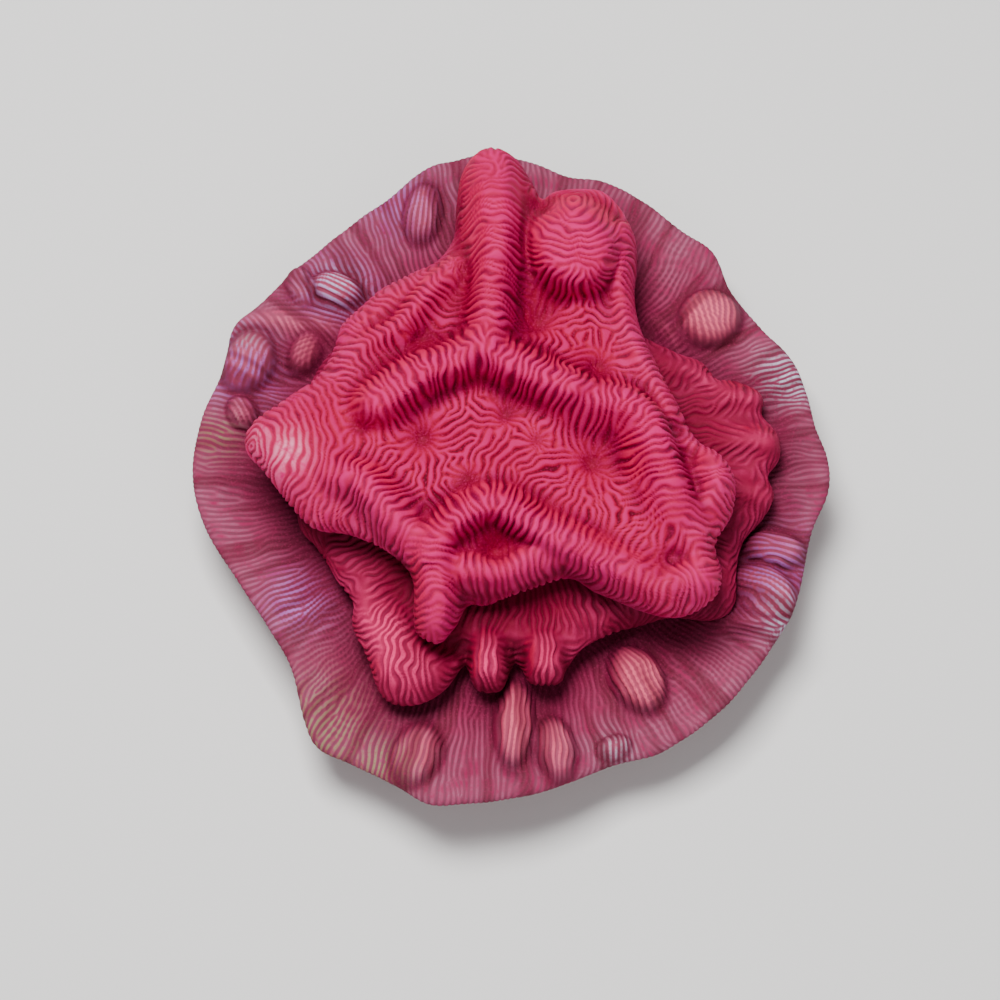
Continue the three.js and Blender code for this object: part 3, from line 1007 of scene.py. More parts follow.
    def marks(self, rings: Rings) -> dict[str, Array]:
        """What each point of the mesh carries for its relief and its finish.

        Args:
            rings: The plate's rings.

        Returns:
            A value of each attribute for each point.
        """
        names = ("x", "y", "out", "rise", "under")
        x, y, out, rise, under = [np.concatenate([marks[name] for marks in rings.marks]) for name in names]
        costa = np.concatenate([marks.get("costa", np.full(len(marks["x"]), 0.5)) for marks in rings.marks])
        bare = np.concatenate([marks.get("bare", np.zeros(len(marks["x"]))) for marks in rings.marks])
        z = np.concatenate([ring[:, 2] for ring in rings.places])
        rib = self.ribs.at(x, y) * (1 - under) + costa * under
        away, _ = self.polar(x, y)
        flat = self.flat_radius * FLAT_SHARE
        shown = ramp(away, flat - RIB_FADE, flat) if flat > 0 else np.ones_like(x)
        stem_share = np.clip((self.stem.shoulder_level - z) / COSTA_FADE, 0.0, 1.0)
        at_rim = 1 - (1 - self.rim_relief) * ramp(out, *FLATTER_RIM)
        relief = self.relief * ((1 - under) * shown * at_rim + under * COSTA_RELIEF * (1 - stem_share))
        turn = np.arctan2(y - self.centre[1], x - self.centre[0])
        bent = [phase + STREAK_BEND * np.sin(STREAK_TURN * away + phase) for _, phase in STREAKS]
        streak = sum(np.sin(count * turn + bend) for (count, _), bend in zip(STREAKS, bent))
        # Painted shade in a ring round the foot of each knob.
        foot = np.zeros_like(x)
        for knob in self.knobs:
            foot = np.maximum(foot, np.exp(-(((knob.away(x, y) - KNOB_RING[0]) / KNOB_RING[1]) ** 2)))
        # Painted shadow: how near each place lies to the outline of a plate above it.
        covered = np.zeros_like(x)
        for plate in self.above:
            beside, reach = plate.polar(x, y)
            covered = np.maximum(covered, 1 - ramp(beside - reach, *CAST_SHADOW_RANGE))
        mouth = np.zeros_like(x)
        for centre in self.centres:
            mouth = np.maximum(mouth, np.exp(-((x - centre.at[0]) ** 2 + (y - centre.at[1]) ** 2)))
        values = {
            "rib": rib,
            "relief": relief,
            "crest": np.clip(rise / RAISED_HEIGHT, 0.0, 1.0),
            # Painted light on the steep flanks that face the key lamp.
            "steep": ramp(self._steep.at(x, y), *LIT_STEEPNESS) * (1 - under),
            # Painted shade in hollows and round the feet of knobs.
            "hollow": np.maximum(ramp(self._hollow.at(x, y), *HOLLOW_SHADE), foot) * (1 - under),
            "streak": ramp(streak, *STREAKED) * (1 - under),
            "mouth": mouth * (1 - under),
            "rim": ramp(out, *RIM_TONE) * (1 - under),
            "covered": covered * (1 - under),
            "under": under,
            "bare": bare * self.bareness,
        }
        for tint in Tint:
            values[tint.value] = np.zeros_like(x)
        for patch in self.patches:
            away = ((x - patch.at[0]) ** 2 + (y - patch.at[1]) ** 2) / patch.size**2
            tinted = patch.strength * np.exp(-away) * (1 - under)
            values[patch.tint.value] = np.maximum(values[patch.tint.value], tinted)
        worn = np.clip(values[Tint.PALE.value], 0.0, 1.0)
        values["relief"] = relief * (1 - WORN_RELIEF * worn)
        values["rib"] = rib + (WORN_RIB - rib) * WORN_HOLD * worn
        return values

    def mesh(self) -> bpy.types.Mesh:
        """The plate as a closed mesh without its ribs, with the attributes that carry them.

        Returns:
            The mesh, in metres.
        """
        rings = self.rings()
        places = np.vstack(rings.places) * MM
        triangles = rings.stitch()
        mesh = bpy.data.meshes.new(self.name)
        mesh.vertices.add(len(places))
        mesh.vertices.foreach_set("co", places.astype(np.float32).ravel())
        mesh.loops.add(triangles.size)
        mesh.loops.foreach_set("vertex_index", triangles.astype(np.int32).ravel())
        mesh.polygons.add(len(triangles))
        mesh.polygons.foreach_set("loop_start", np.arange(0, triangles.size, 3, dtype=np.int32))
        mesh.polygons.foreach_set("use_smooth", np.ones(len(triangles), bool))
        mesh.update(calc_edges=True)
        for name, values in self.marks(rings).items():
            mesh.attributes.new(name, "FLOAT", "POINT").data.foreach_set("value", values.astype(np.float32))
        return mesh

    def build(self, finish: "Flesh", relief: "RibRelief") -> bpy.types.Object:
        """Makes the plate's finished piece, in place of its solid.

        Args:
            finish: What it is dressed with.
            relief: What raises its ribs.

        Returns:
            The finished piece.
        """
        self.ribs.grow(self)
        piece = relief.raise_ribs(f"{self.name}_flesh", self.mesh(), finish.material())
        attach(piece, BODY)
        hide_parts(self.name)
        log.info("%s: %d triangles", piece.name, len(piece.data.polygons))
        return piece


@dataclass(frozen=True)
class RibRelief:
    """Raises the ribs of a plate along its normals with Geometry Nodes.

    Attributes:
        depth: From the bottom of a groove to the top of a rib, mm.
        sharpness: How broad the tops and how narrow the grooves are.
        sink: Share of the depth that lies under the plain face.
    """

    depth: float = 0.45
    sharpness: float = 2.6
    sink: float = 0.7

    def tree(self, material: bpy.types.Material) -> bpy.types.NodeTree:
        """The node tree, with its sizes as named inputs.

        Args:
            material: The finish that the tree sets.

        Returns:
            The tree.
        """
        tree = bpy.data.node_groups.new("rib_relief", "GeometryNodeTree")
        face = tree.interface
        face.new_socket("Geometry", in_out="INPUT", socket_type="NodeSocketGeometry")
        for name, value in (("Depth", self.depth * MM), ("Sharpness", self.sharpness), ("Sink", self.sink)):
            face.new_socket(name, in_out="INPUT", socket_type="NodeSocketFloat").default_value = value
        face.new_socket("Finish", in_out="INPUT", socket_type="NodeSocketMaterial").default_value = material
        face.new_socket("Geometry", in_out="OUTPUT", socket_type="NodeSocketGeometry")
        nodes, links = tree.nodes, tree.links
        given, result = nodes.new("NodeGroupInput"), nodes.new("NodeGroupOutput")

        def attribute(name: str) -> Socket:
            """A named attribute of the mesh.

            Args:
                name: Its name.

            Returns:
                Its socket.
            """
            node = nodes.new("GeometryNodeInputNamedAttribute")
            node.data_type = "FLOAT"
            node.inputs["Name"].default_value = name
            return node.outputs["Attribute"]

        def sum_of(operation: str, first: object, second: object) -> Socket:
            """One value from two sockets or numbers."""
            return math_node(tree, operation, first, second)

        groove = sum_of("POWER", sum_of("SUBTRACT", 1.0, attribute("rib")), given.outputs["Sharpness"])
        height = sum_of("SUBTRACT", sum_of("SUBTRACT", 1.0, groove), given.outputs["Sink"])
        height = sum_of("MULTIPLY", sum_of("MULTIPLY", height, attribute("relief")), given.outputs["Depth"])
        offset = nodes.new("ShaderNodeVectorMath")
        offset.operation = "SCALE"
        links.new(nodes.new("GeometryNodeInputNormal").outputs[0], offset.inputs[0])
        links.new(height, offset.inputs["Scale"])
        move, real, dress = [
            nodes.new(kind)
            for kind in ("GeometryNodeSetPosition", "GeometryNodeRealizeInstances", "GeometryNodeSetMaterial")
        ]
        links.new(given.outputs["Geometry"], move.inputs["Geometry"])
        links.new(offset.outputs[0], move.inputs["Offset"])
        links.new(move.outputs[0], real.inputs[0])
        links.new(real.outputs[0], dress.inputs["Geometry"])
        links.new(given.outputs["Finish"], dress.inputs["Material"])
        links.new(dress.outputs[0], result.inputs[0])
        return tree

    def raise_ribs(
        self, name: str, mesh: bpy.types.Mesh, material: bpy.types.Material
    ) -> bpy.types.Object:
        """A new object with the ribs raised and no modifier left.

        Args:
            name: The object's name.
            mesh: The plain plate with its attributes.
            material: The finish that the tree sets.

        Returns:
            The object, at the origin.
        """
        piece = placed(name, mesh)
        modifier = piece.modifiers.new("ribs", "NODES")
        modifier.node_group = self.tree(material)
        graph = bpy.context.evaluated_depsgraph_get()
        made = bpy.data.meshes.new_from_object(
            piece.evaluated_get(graph), preserve_all_data_layers=True, depsgraph=graph
        )
        piece.modifiers.remove(modifier)
        piece.data = made
        made.name = name
        bpy.data.meshes.remove(mesh)
        return piece


@dataclass(frozen=True)
class Flesh:
    """Living flesh over the skeleton, with its tones as screen colours.

    Attributes:
        groove: Between the ribs; also the tone of the painted shade in hollows, next to and under the plates
            above, and on the underside.
        flank: On the sides of the ribs.
        crest: On the tops of the ribs; its lavender tint is partly their own colour and partly painted sheen.
        raised: On rib tops where the plate folds up: paler, partly as its own colour and partly as painted
            top light.
        lit_flank: Painted light over the steep sides of folds that face the key lamp.
        mouth: In the middle of a polyp.
        rim: On rib tops at the rim.
        rim_share: How much of the rim's tone there is.
        cast_shadow_strength: How much painted shadow darkens it next to and under the plates above.
        softness: How much of the tones of raised parts and of the rim its grooves take.
        streaks: How much of the shade's tone there is, in streaks that run out to the rim.
        shade: In the streaks.
        olive: In olive patches.
        white: In white patches.
        purple: In purple patches.
        pale: Where it is worn pale.
        skeleton: Of the bare skeleton.
        pore: In the skeleton's pores.
        grain: Depth of the finest grain, mm.
    """

    name: str
    groove: Colour
    flank: Colour
    crest: Colour
    raised: Colour
    lit_flank: Colour
    mouth: Colour
    rim: Colour
    rim_share: float
    cast_shadow_strength: float = 0.0
    softness: float = 0.2
    streaks: float = 0.0
    shade: Colour = (84, 22, 36)
    olive: Colour = (136, 124, 92)
    white: Colour = (196, 205, 224)
    purple: Colour = (168, 102, 182)
    pale: Colour = (232, 132, 164)
    skeleton: Colour = (205, 190, 178)
    pore: Colour = (120, 98, 92)
    roughness: float = 0.7
    specular: float = 0.1
    grain: float = 0.09

    def material(self) -> bpy.types.Material:
        """The finish as a node material that reads the plate's attributes and object coordinates.

        Returns:
            The material.
        """
        material = bpy.data.materials.new(self.name)
        material.use_nodes = True
        tree = material.node_tree
        nodes, links = tree.nodes, tree.links
        shader = nodes["Principled BSDF"]
        coordinates = nodes.new("ShaderNodeTexCoord").outputs["Object"]

        def attribute(name: str) -> Socket:
            """A value that the mesh carries.

            Args:
                name: Its name.

            Returns:
                Its socket.
            """
            node = nodes.new("ShaderNodeAttribute")
            node.attribute_name = name
            return node.outputs["Fac"]

        def noise(size: float, detail: float = 3.0) -> Socket:
            """Noise in the object's own space.

            Args:
                size: About how wide its lumps are, mm.
                detail: How many finer layers it has.

            Returns:
                Its socket.
            """
            node = nodes.new("ShaderNodeTexNoise")
            node.inputs["Scale"].default_value = 1.0 / (size * MM)
            node.inputs["Detail"].default_value = detail
            links.new(coordinates, node.inputs["Vector"])
            return node.outputs["Fac"]

        def spread(value: Socket, low: float, high: float, top: float = 1.0) -> Socket:
            """Spreads values over 0 to top.

            Args:
                value: The values.
                low: What becomes 0.
                high: What becomes top.
                top: The highest result.

            Returns:
                The result's socket.
            """
            node = nodes.new("ShaderNodeMapRange")
            node.interpolation_type = "SMOOTHSTEP"
            for socket, number in zip(("From Min", "From Max", "To Max"), (low, high, top)):
                node.inputs[socket].default_value = number
            links.new(value, node.inputs["Value"])
            return node.outputs[0]

        def times(first: object, second: object) -> Socket:
            """The product of two sockets or numbers."""
            return math_node(tree, "MULTIPLY", first, second)

        def mixed(share: Socket, under: object, over: object) -> Socket:
            """Two colours mixed.

            Args:
                share: How much there is of the second one.
                under: The first one, a socket or a screen colour.
                over: The second one, a socket or a screen colour.

            Returns:
                The mixed colour's socket.
            """
            node = nodes.new("ShaderNodeMix")
            node.data_type = "RGBA"
            links.new(share, node.inputs[0])
            for socket, colour in ((node.inputs[6], under), (node.inputs[7], over)):
                feed(links, socket, colour if isinstance(colour, Socket) else linear(*colour))
            return node.outputs[2]

        rib = attribute("rib")
        flank_share, crest_share = spread(rib, 0.02, 0.42), spread(rib, 0.34, 0.8)
        at_rim = times(times(attribute("rim"), self.rim_share), spread(noise(2.5), 0.3, 0.6))
        # Rib tops take the crest tone, whose lavender tint is partly painted sheen, and turn toward the rim's
        # tone.
        top = mixed(at_rim, self.crest, self.rim)
        # Raised folds and knobs are paler: partly their own colour, partly painted top light.
        raised = spread(attribute("crest"), 0.15, 0.8)
        top = mixed(raised, top, self.raised)
        tints = {
            Tint.PURPLE: self.purple,
            Tint.OLIVE: self.olive,
            Tint.WHITE: self.white,
            Tint.PALE: self.pale,
        }
        for tint, tone in tints.items():
            tinted = times(attribute(tint.value), spread(noise(1.1), 0.26, 0.52))
            top = mixed(tinted, top, tone)
        # Painted light: steep flanks that face the key lamp take a brighter red.
        top = mixed(times(attribute("steep"), 0.7), top, self.lit_flank)
        lifted, aged = times(raised, self.softness), times(attribute("rim"), self.softness)
        low, side = [
            mixed(aged, mixed(lifted, tone, self.raised), self.rim) for tone in (self.groove, self.flank)
        ]
        colour = mixed(crest_share, mixed(flank_share, low, side), top)
        # Painted shade: hollows and the feet of knobs darken toward the groove tone.
        colour = mixed(times(attribute("hollow"), 0.7), colour, self.groove)
        colour = mixed(times(attribute("streak"), self.streaks), colour, self.shade)
        # Painted shadow of the plates above: darker next to and under them.
        colour = mixed(times(attribute("covered"), self.cast_shadow_strength), colour, self.groove)
        colour = mixed(times(attribute("mouth"), 0.6), colour, self.mouth)
        colour = mixed(spread(noise(6.0), 0.42, 0.7, 0.35), colour, self.flank)
        colour = mixed(spread(noise(0.3, 2.0), 0.5, 0.72, 0.4), colour, self.crest)
        pores = spread(noise(0.5, 2.0), 0.5, 0.62)
        bone = mixed(pores, self.skeleton, self.pore)
        # Painted shade on the underside: it darkens toward the groove tone.
        colour = mixed(times(attribute("under"), 0.35), colour, self.groove)
        colour = mixed(spread(attribute("bare"), 0.2, 0.4), colour, bone)
        links.new(colour, shader.inputs["Base Color"])
        bump = nodes.new("ShaderNodeBump")
        bump.inputs["Strength"].default_value = 0.6
        bump.inputs["Distance"].default_value = self.grain * MM
        links.new(noise(0.22, 2.0), bump.inputs["Height"])
        links.new(bump.outputs[0], shader.inputs["Normal"])
        shader.inputs["Roughness"].default_value = self.roughness
        shader.inputs["Specular IOR Level"].default_value = self.specular
        return material


@dataclass(frozen=True)
class Studio:
    """A plain pale floor, plain soft light and the camera at the photograph's angle.

    Attributes:
        target: What the camera and the lamps face, mm.
        elevation: The camera's height over the horizon, in degrees.
        distance: From the target to the camera, mm.
        half_frame: Half of what the picture spans at the target, mm.
        floor_size: Side of the floor, mm.
        floor_tone: The floor's screen colour.
        key: Place from the target in mm, side in mm and power in watts of the lamp above.
        fill: The same of the lamp at the front.
        sky_tone: Linear colour of the light from all round.
        sky_power: Its strength.
    """

    target: tuple[float, float, float] = (-1.4, -2.9, 12.0)
    elevation: float = 70.0
    distance: float = 450.0
    half_frame: float = 70.75
    floor_size: float = 3000.0
    floor_tone: Colour = (226, 224, 222)
    key: tuple = ((-70.0, 90.0, 480.0), 200.0, 4.4)
    fill: tuple = ((120.0, -360.0, 300.0), 420.0, 0.9)
    sky_tone: Colour = (0.92, 0.94, 1.0)
    sky_power: float = 0.22

    def camera(self) -> None:
        """Makes the camera."""
        data = bpy.data.cameras.new("camera")
        camera = placed("camera", data)
        tilt = math.radians(self.elevation)
        back = Vector((0.0, -math.cos(tilt), math.sin(tilt)))
        camera.location = (Vector(self.target) + back * self.distance) * MM
        camera.rotation_mode = "QUATERNION"
        camera.rotation_quaternion = (-back).to_track_quat("-Z", "Y")
        data.sensor_width = 36.0
        data.lens = data.sensor_width / 2 * self.distance / self.half_frame
        data.clip_start, data.clip_end = 0.01, 10.0
        bpy.context.scene.camera = camera

    def floor(self) -> None:
        """Makes the floor."""
        half = self.floor_size / 2 * MM
        mesh = bpy.data.meshes.new("floor")
        corners = [(-half, -half, 0), (half, -half, 0), (half, half, 0), (-half, half, 0)]
        mesh.from_pydata(corners, [], [(0, 1, 2, 3)])
        floor = placed("floor", mesh)
        material = bpy.data.materials.new("floor")
        material.use_nodes = True
        shader = material.node_tree.nodes["Principled BSDF"]
        shader.inputs["Base Color"].default_value = linear(*self.floor_tone)
        shader.inputs["Roughness"].default_value = 0.9
        mesh.materials.append(material)

    def lamp(self, name: str, place: tuple[float, float, float], size: float, power: float) -> None:
        """Makes a square lamp that faces the target.

        Args:
            name: Its name.
            place: Where it hangs, mm from the target.
            size: Its side, mm.
            power: Its power in watts.
        """
        data = bpy.data.lights.new(name, "AREA")
        data.size = size * MM
        data.energy = power
        lamp = placed(name, data)
        lamp.location = (Vector(self.target) + Vector(place)) * MM
        lamp.rotation_mode = "QUATERNION"
        lamp.rotation_quaternion = (-Vector(place)).to_track_quat("-Z", "Y")

    def build(self) -> None:
        """Makes the whole stage."""
        self.camera()
        self.floor()
        self.lamp("key", *self.key)
        self.lamp("fill", *self.fill)
        world = bpy.data.worlds.new("studio")
        world.use_nodes = True
        sky = world.node_tree.nodes["Background"]
        sky.inputs["Color"].default_value = (*self.sky_tone, 1.0)
        sky.inputs["Strength"].default_value = self.sky_power
        bpy.context.scene.world = world


def base_plate(above: tuple[Plate, ...]) -> Plate:
    """The broad outer plate with its knobs and its pale rim.

    Args:
        above: The plates that cover its middle.

    Returns:
        The plate.
    """
    return Plate(
        name="base_plate",
        slot="base_flesh",
        centre=(0.0, 0.0),
        level=BASE_LEVEL,
        flat_radius=23.0,
        dish=2.6,
        waves=(Wave(7, 0.9, 0.6), Wave(4, 0.7, 2.0)),
        outline=(
            (-3, 51), (3, 50), (9, 47.5), (14, 46.5), (19, 43.5), (24.5, 39), (29.5, 35.5), (32, 30),
            (36, 24.5), (40.5, 19), (42.5, 13), (43.5, 7.5), (45, 3), (45, -2), (42.5, -8),
            (40.5, -16.5), (37.5, -23), (33.5, -29), (28.5, -34.5), (21, -39.5), (14, -41.5),
            (7.5, -44.5), (1.5, -46.5), (-5.5, -47.5), (-11, -47.5), (-16, -44.5), (-21.5, -41.5),
            (-26.5, -39), (-28.5, -35), (-30.5, -27.5), (-34, -21.5), (-38.5, -14.5), (-43, -7),
            (-45, 0.5), (-44, 8.5), (-41, 16.5), (-40, 22.5), (-36.5, 27), (-32, 32.5), (-25, 38.5),
            (-18, 43.5), (-13, 48), (-8, 50),
        ),
        lip=Lip(1.7, 1.1, 1.3, 1.0),
        stem=Stem((0.0, 0.0), 27.0, 5.0, 23.0, 0.0),
        folds=(
            Fold(((-41, 24, 1.5), (-34, 24.5, 2.4), (-25, 23, 2.2)), 2.6, (0.0, -0.2)),
            Fold(((26, -21, 1), (33, -20, 2.4), (40, -19.5, 1.6)), 2.6, (0.0, -0.5)),
            Fold(((20, 25, 1), (23, 22.5, 1.6), (25, 18, 1)), 1.6),
        ),
        knobs=(
            Knob((28.8, 24.8), 4.3, 4.6, 105, 4.2), Knob((17.6, -29.4), 5.2, 3.5, -60, 4.2),
            Knob((0.6, -36.0), 6.6, 2.7, 88, 3.4), Knob((6.2, -39.6), 4.8, 2.6, 100, 3.0),
            Knob((-12.8, -40.4), 4.6, 3.4, 70, 2.4), Knob((37.0, -10.6), 4.4, 2.7, 170, 2.8),
            Knob((35.4, -16.3), 4.8, 3.2, 150, 3.2), Knob((-37.4, 17.6), 5.2, 3.4, 70, 3.0),
            Knob((-29.4, 19.2), 3.4, 2.3, 70, 3.0), Knob((-38.0, 9.6), 2.6, 2.1, 120, 2.6),
            Knob((-25.0, 29.4), 4.0, 2.6, 160, 2.9), Knob((-30.4, 30.2), 3.2, 1.9, 110, 2.0),
            Knob((-12.6, 41.0), 4.6, 2.7, 80, 2.3), Knob((14.2, -39.2), 1.6, 2.4, 110, 1.7),
        ),
        pits=(Pit((-34, 16), 3.4, 1.2),),
        fineness=Fineness(along=0.2, between=0.41, under=1.3, costae=170),
        ribs=RibPattern(pitch=0.8, guide=3.0, seed=3, steps=110, wander=0.2, wander_size=1.2),
        relief=0.6,
        rim_relief=0.35,
        patches=(
            Patch(Tint.OLIVE, (-26.0, -37.0), 7.0), Patch(Tint.OLIVE, (-17.5, -42.0), 4.0),
            Patch(Tint.OLIVE, (-41.5, 6.0), 3.0), Patch(Tint.OLIVE, (-38.0, 21.0), 2.5, 0.7),
            Patch(Tint.WHITE, (40.0, 15.5), 4.0), Patch(Tint.WHITE, (38.5, -21.0), 3.0),
            Patch(Tint.WHITE, (14.5, -39.5), 2.4, 0.4), Patch(Tint.WHITE, (-25.0, 30.0), 3.0, 0.6),
            Patch(Tint.PURPLE, (-25.0, 29.4), 5.0), Patch(Tint.PURPLE, (-38.0, 16.0), 5.0),
            Patch(Tint.PURPLE, (36.0, -14.0), 6.0), Patch(Tint.PURPLE, (-29.5, -18.0), 4.0),
            Patch(Tint.PURPLE, (-16.0, 43.0), 5.0, 0.7), Patch(Tint.PURPLE, (-39.5, 20.0), 4.5),
        ),
        above=above,
        radial_lead=1.1,
    )


def middle_plate(above: tuple[Plate, ...]) -> Plate:
    """The redder plate between the crown and the base plate.

    Args:
        above: The plates that cover its middle.

    Returns:
        The plate.
    """
    return Plate(
        name="middle_plate",
        slot="middle_flesh",
        centre=(2.0, -3.0),
        level=MIDDLE_LEVEL,
        flat_radius=22.0,
        dish=-1.8,
        waves=(Wave(9, 0.5, 0.0), Wave(4, 0.7, 1.2)),
        outline=(
            (7, 26), (18.5, 21), (23.5, 18.4), (27.4, 16.8), (29.4, 14), (32.4, 14), (35.6, 11.6),
            (35.6, 8.4), (37.6, 5.4), (37.8, 1.8), (36.2, -0.8), (36.8, -3.6), (35.2, -7), (32.6, -10),
            (31.5, -14), (31, -19.5), (28, -21.5), (22.5, -21), (17, -22.5), (13, -24.2), (10, -26),
            (7.8, -28.8), (6.6, -31), (3, -31), (1.6, -28.6), (0.7, -27.6), (0, -28.8), (-1.4, -31.8),
            (-4.6, -31.8), (-5.8, -28.8), (-6.6, -28.4), (-9.2, -32), (-13.5, -34), (-17.5, -32.5),
            (-19.5, -27), (-21.5, -23), (-21.5, -19.5), (-24, -16), (-27, -11), (-29.5, -7.5), (-30, 2),
            (-29.5, 10), (-26, 18), (-17, 25), (-5.5, 27),
        ),
        lip=Lip(3.0, 2.3, 1.8, 1.2),
        stem=Stem((1.0, -1.0), 20.0, 13.2, 16.0, BASE_LEVEL + FORK_GAP),
        folds=(
            Fold(((22, 15, 1), (26, 14.5, 2), (29.5, 12, 1.6)), 2.0, (0.2, -0.3)),
            Fold(
                ((-6, -20.5, 1.8), (1.5, -21.5, 2.4), (8, -22, 2.2), (13, -22, 1.2)),
                2.0,
                (0.0, -0.35),
                1.4,
            ),
            Fold(((-19, -20, 2.2), (-17.5, -24, 3.4), (-15, -28.5, 4)), 3.9, (-0.1, -0.1), 1.7),
            Fold(((-3, -26, 3), (-3, -29.8, 4)), 2.0, (0.0, -0.2), 2.2),
            Fold(((4.6, -26, 3), (4.7, -29.2, 4)), 2.2, (0.0, -0.2), 2.2),
            Fold(((27, 9.6, 1), (31, 10.8, 2), (34, 10.6, 2.2)), 1.9, (0.1, -0.2), 1.4),
            Fold(((28, 3.6, 0.8), (33, 3.9, 1.8), (36, 3.4, 2.1)), 1.9, (0.1, -0.2), 1.4),
            Fold(((28, -3, 0.6), (33, -3.7, 1.6), (35.4, -4.4, 1.9)), 1.8, (0.1, -0.2), 1.4),
            Mound((-13.6, -29.6), (5.2, 4.4), 3.2, (0.0, -0.2)),
        ),
        pits=(Pit((-15.5, -18), 3.4, 1.6), Pit((0.8, -27), 1.7, 1.6), Pit((-7, -26.6), 1.7, 1.4)),
        fineness=Fineness(along=0.19, between=0.22, under=1.3, costae=110),
        combs=(
            Knob((-3.0, -29.2), 4.4, 2.5, 90, 0.0), Knob((4.7, -28.8), 4.4, 2.7, 90, 0.0),
            Knob((-13.8, -30.2), 4.2, 4.6, 85, 0.0),
        ),
        ribs=RibPattern(pitch=0.94, guide=3.0, seed=11, steps=100),
        above=above,
        relief=0.8,
        radial_lead=0.7,
    )


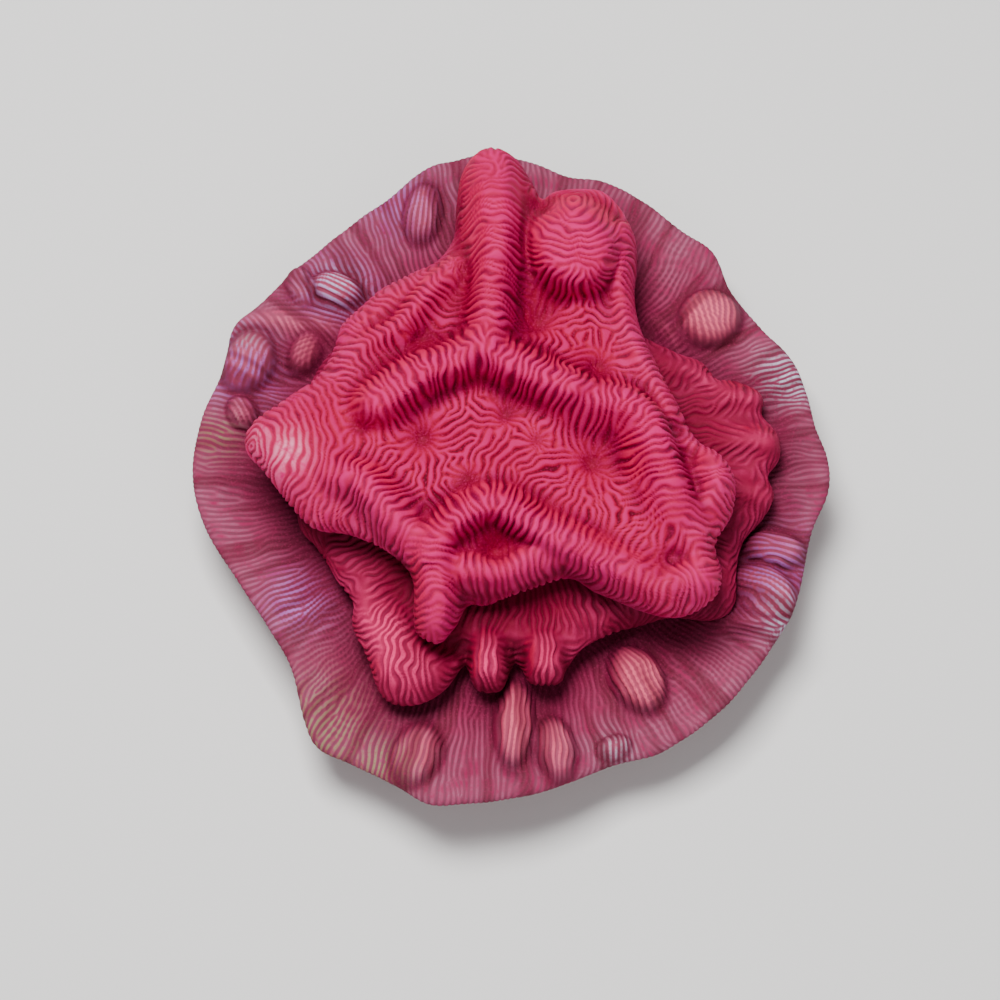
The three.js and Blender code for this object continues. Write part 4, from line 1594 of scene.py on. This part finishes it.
def crown_plate() -> Plate:
    """The folded crimson plate on top.

    Returns:
        The plate.
    """
    return Plate(
        name="crown_plate",
        slot="crown_flesh",
        centre=(-2.0, 6.0),
        level=CROWN_LEVEL,
        flat_radius=0.0,
        dish=-3.6,
        waves=(Wave(5, 0.5, 1.2), Wave(3, 0.6, 2.6)),
        outline=(
            (-3, 45.5), (1, 44), (3, 41), (4.5, 38.5), (6.5, 39.5), (10, 40), (13.5, 39.5), (16.5, 36),
            (18, 30.5), (17.5, 24), (18, 19.5), (20, 14), (22, 9), (24.2, 4.4), (26.4, 0.8), (29, -1.4),
            (30.8, -4.8), (30.4, -9), (28, -13.4), (28.8, -17.4), (27.6, -21.4), (23, -23.6),
            (17.5, -22.4), (12, -20), (8, -18), (2.5, -19.5), (-3, -21.5), (-5.9, -21.9), (-7.7, -25.2),
            (-10, -27.4), (-12.8, -25.4), (-13, -20), (-13.5, -17), (-16.5, -14.5), (-22, -12),
            (-27, -11), (-31, -7), (-34, -3), (-36.5, 0.5), (-36, 4), (-32, 7.5), (-27, 11.5),
            (-24.5, 16), (-23, 20), (-17.5, 25), (-11, 28.5), (-8, 32), (-7.5, 37.5), (-6.5, 42.5),
        ),
        lip=Lip(4.0, 3.5, 2.4, 2.0),
        stem=Stem((1.0, 1.5), 15.0, 21.0, 11.5, MIDDLE_LEVEL + FORK_GAP),
        folds=(
            Fold(
                (
                    (-18.1, 5.4, 4.4), (-15.7, 7.2, 5), (-13.4, 8.8, 5.4), (-10.7, 10.1, 5.6),
                    (-7.8, 11.1, 5.6), (-3.9, 12.1, 5.8), (0.6, 10.5, 5.5), (4.6, 8.6, 5.3),
                    (7.3, 7, 5),
                ),
                3.2,
                (0.0, -0.3),
                1.9,
            ),
            Fold(
                (
                    (7.3, 7, 5), (10.4, 5.2, 4.8), (14.2, 4.8, 5), (17.2, 2.8, 5.2), (19, -1.5, 5),
                    (20.6, -6, 4.4), (22.4, -10, 3.2), (24.4, -13, 1.6),
                ),
                3.2,
                (0.2, -0.1),
                1.6,
            ),
            Fold(((-2.6, 41.5, 3.8), (-2.5, 38, 5.4), (-2.1, 33, 6), (-1.9, 27, 5.2)), 3.7, fullness=1.8),
            Fold(((-1.9, 29, 5.4), (-2.2, 22, 5.8), (-2.8, 16.5, 5.4), (-3.9, 12.1, 5)), 3.0, fullness=1.8),
            Fold(
                (
                    (-10.2, -16.5, 3.4), (-9.3, -13.2, 4), (-6, -10.5, 4.7), (-2.7, -9.2, 5),
                    (0.6, -10.4, 5), (4.5, -12.8, 4.7), (8.9, -15.2, 4.1), (13.3, -17.2, 3.3),
                    (17.5, -19.3, 2.3), (20.5, -21, 1.2),
                ),
                2.5,
                (0.0, -0.35),
                1.8,
            ),
            Fold(
                (
                    (-8, -18.2, 2.8), (-4.8, -18.4, 3.4), (-2.2, -18.4, 3.6), (1.3, -17.6, 3.4),
                    (5.6, -16, 2.4),
                ),
                2.2,
                (0.0, -0.3),
                1.8,
            ),
            Fold(((-10.3, -16, 3.4), (-10.2, -20.5, 4.2), (-9.9, -25.4, 4)), 2.6, (0.0, -0.15), 1.8),
            Fold(
                (
                    (-24, -4.6, 2.2), (-20.4, -5.9, 3.4), (-17.2, -8.9, 4), (-14.3, -12.9, 4),
                    (-11.2, -16.6, 3.6),
                ),
                2.6,
                (-0.2, -0.2),
                1.6,
            ),
            Fold(
                ((-23, 12.9, 1.2), (-19, 15.3, 2), (-15.2, 17, 2.5), (-11.5, 21.9, 2.7), (-8, 25.7, 2.7)),
                1.9,
                fullness=1.4,
            ),
            Fold(((-24, 17, 1.2), (-17.5, 22, 1), (-12, 25, 0.8)), 1.8),
            Fold(
                (
                    (16.2, 32, 2.2), (16, 25, 2.3), (16.6, 19, 2.3), (18.2, 13.6, 2.3), (20.3, 9, 2.1),
                    (22.5, 5, 1.6),
                ),
                1.8,
                fullness=1.5,
            ),
            Mound((9.0, 29.6), (6.3, 7.4), 6.0, (0.0, -0.45), 3.4),
            Mound((28.6, -4.8), (3.0, 4.8), 2.6, fullness=1.6),
            Mound((25.4, -19.8), (4.2, 3.2), 3.2, (0.0, -0.1)),
            Mound((-31.5, -1.5), (8.0, 6.5), 2.2),
        ),
        pits=(
            Pit((4.2, 18.8), 4.2, 3.8), Pit((11, -3), 4.6, 2.4), Pit((-12, 0.5), 4, 2),
            Pit((-0.5, 3.6), 2.8, 1.4), Pit((-6, -7), 2.6, 0.8), Pit((-20.5, 2.5), 2.6, 0.9),
            Pit((12, 11.4), 2.4, 1.4), Pit((-12, 15.6), 3, 1.4), Pit((-1.8, -15.4), 2.0, 2.0),
            Pit((4.6, 35.6), 2.6, 1.2), Pit((22.6, -16.6), 1.9, 1.8), Pit((-19, 19), 4, 1.4),
            Pit((22.6, 1.8), 1.6, 1.2), Pit((24.4, -2.2), 1.7, 1.8), Pit((25.8, -6), 1.5, 1.4),
        ),
        fineness=Fineness(along=0.245, between=0.27, under=1.3, costae=110),
        ribs=RibPattern(pitch=0.99, guide=2.4, looseness=0.6, seed=7, steps=90),
        centres=(
            Centre((-12.0, 0.6), 4.5, 0.55, 2.3, (1.6, 0.9)),
            Centre((11.0, -3.0), 5.5, 0.6, 2.3, (1.6, 0.9)), Centre((-0.7, 3.5), 3.5, 0.5),
            Centre((-5.7, -5.4)), Centre((-20.5, 2.0)), Centre((3.6, -0.3), 3.0, 0.45),
            Centre((12.2, 11.2)), Centre((3.6, 18.2), 3.5, 0.5), Centre((-12.6, 15.2)),
            Centre((-7.0, 25.4)), Centre((4.5, 36.0), 3.0, 0.4), Centre((-2.6, -15.0), 3.0, 0.4, 1.5),
        ),
        whorls=(Whorl((-36.5, -0.5), 11.0), Whorl((8.9, 36.4), 8.5)),
        patches=(Patch(Tint.PALE, (-30.5, -1.6), 3.0, 0.9), Patch(Tint.PALE, (-34.5, 0.6), 1.8, 0.6)),
    )


CROWN_FLESH = Flesh(
    "crown_flesh",
    groove=(84, 0, 24),
    flank=(160, 0, 50),
    crest=(182, 8, 90),
    raised=(196, 14, 100),
    lit_flank=(208, 0, 66),
    mouth=(110, 0, 30),
    rim=(206, 56, 116),
    rim_share=0.5,
)
MIDDLE_FLESH = Flesh(
    "middle_flesh",
    groove=(70, 0, 20),
    flank=(118, 0, 38),
    crest=(128, 2, 50),
    raised=(228, 50, 112),
    lit_flank=(186, 0, 56),
    mouth=(96, 0, 26),
    rim=(196, 46, 102),
    rim_share=0.6,
    cast_shadow_strength=0.5,
    softness=0.24,
)
BASE_FLESH = Flesh(
    "base_flesh",
    groove=(80, 8, 36),
    flank=(118, 18, 56),
    crest=(146, 36, 78),
    raised=(226, 92, 118),
    lit_flank=(150, 26, 66),
    mouth=(90, 6, 30),
    rim=(152, 88, 112),
    rim_share=0.8,
    cast_shadow_strength=0.85,
    streaks=0.6,
    softness=0.4,
    roughness=0.75,
)


def main() -> None:
    """Builds the stage and the three plates."""
    Studio().build()
    relief = RibRelief()
    crown = crown_plate()
    middle = middle_plate(above=(crown,))
    base = base_plate(above=(middle, crown))
    for plate, finish in ((base, BASE_FLESH), (middle, MIDDLE_FLESH), (crown, CROWN_FLESH)):
        plate.build(finish, relief)
    log.info("sizes written")


if __name__ == "__main__":
    main()
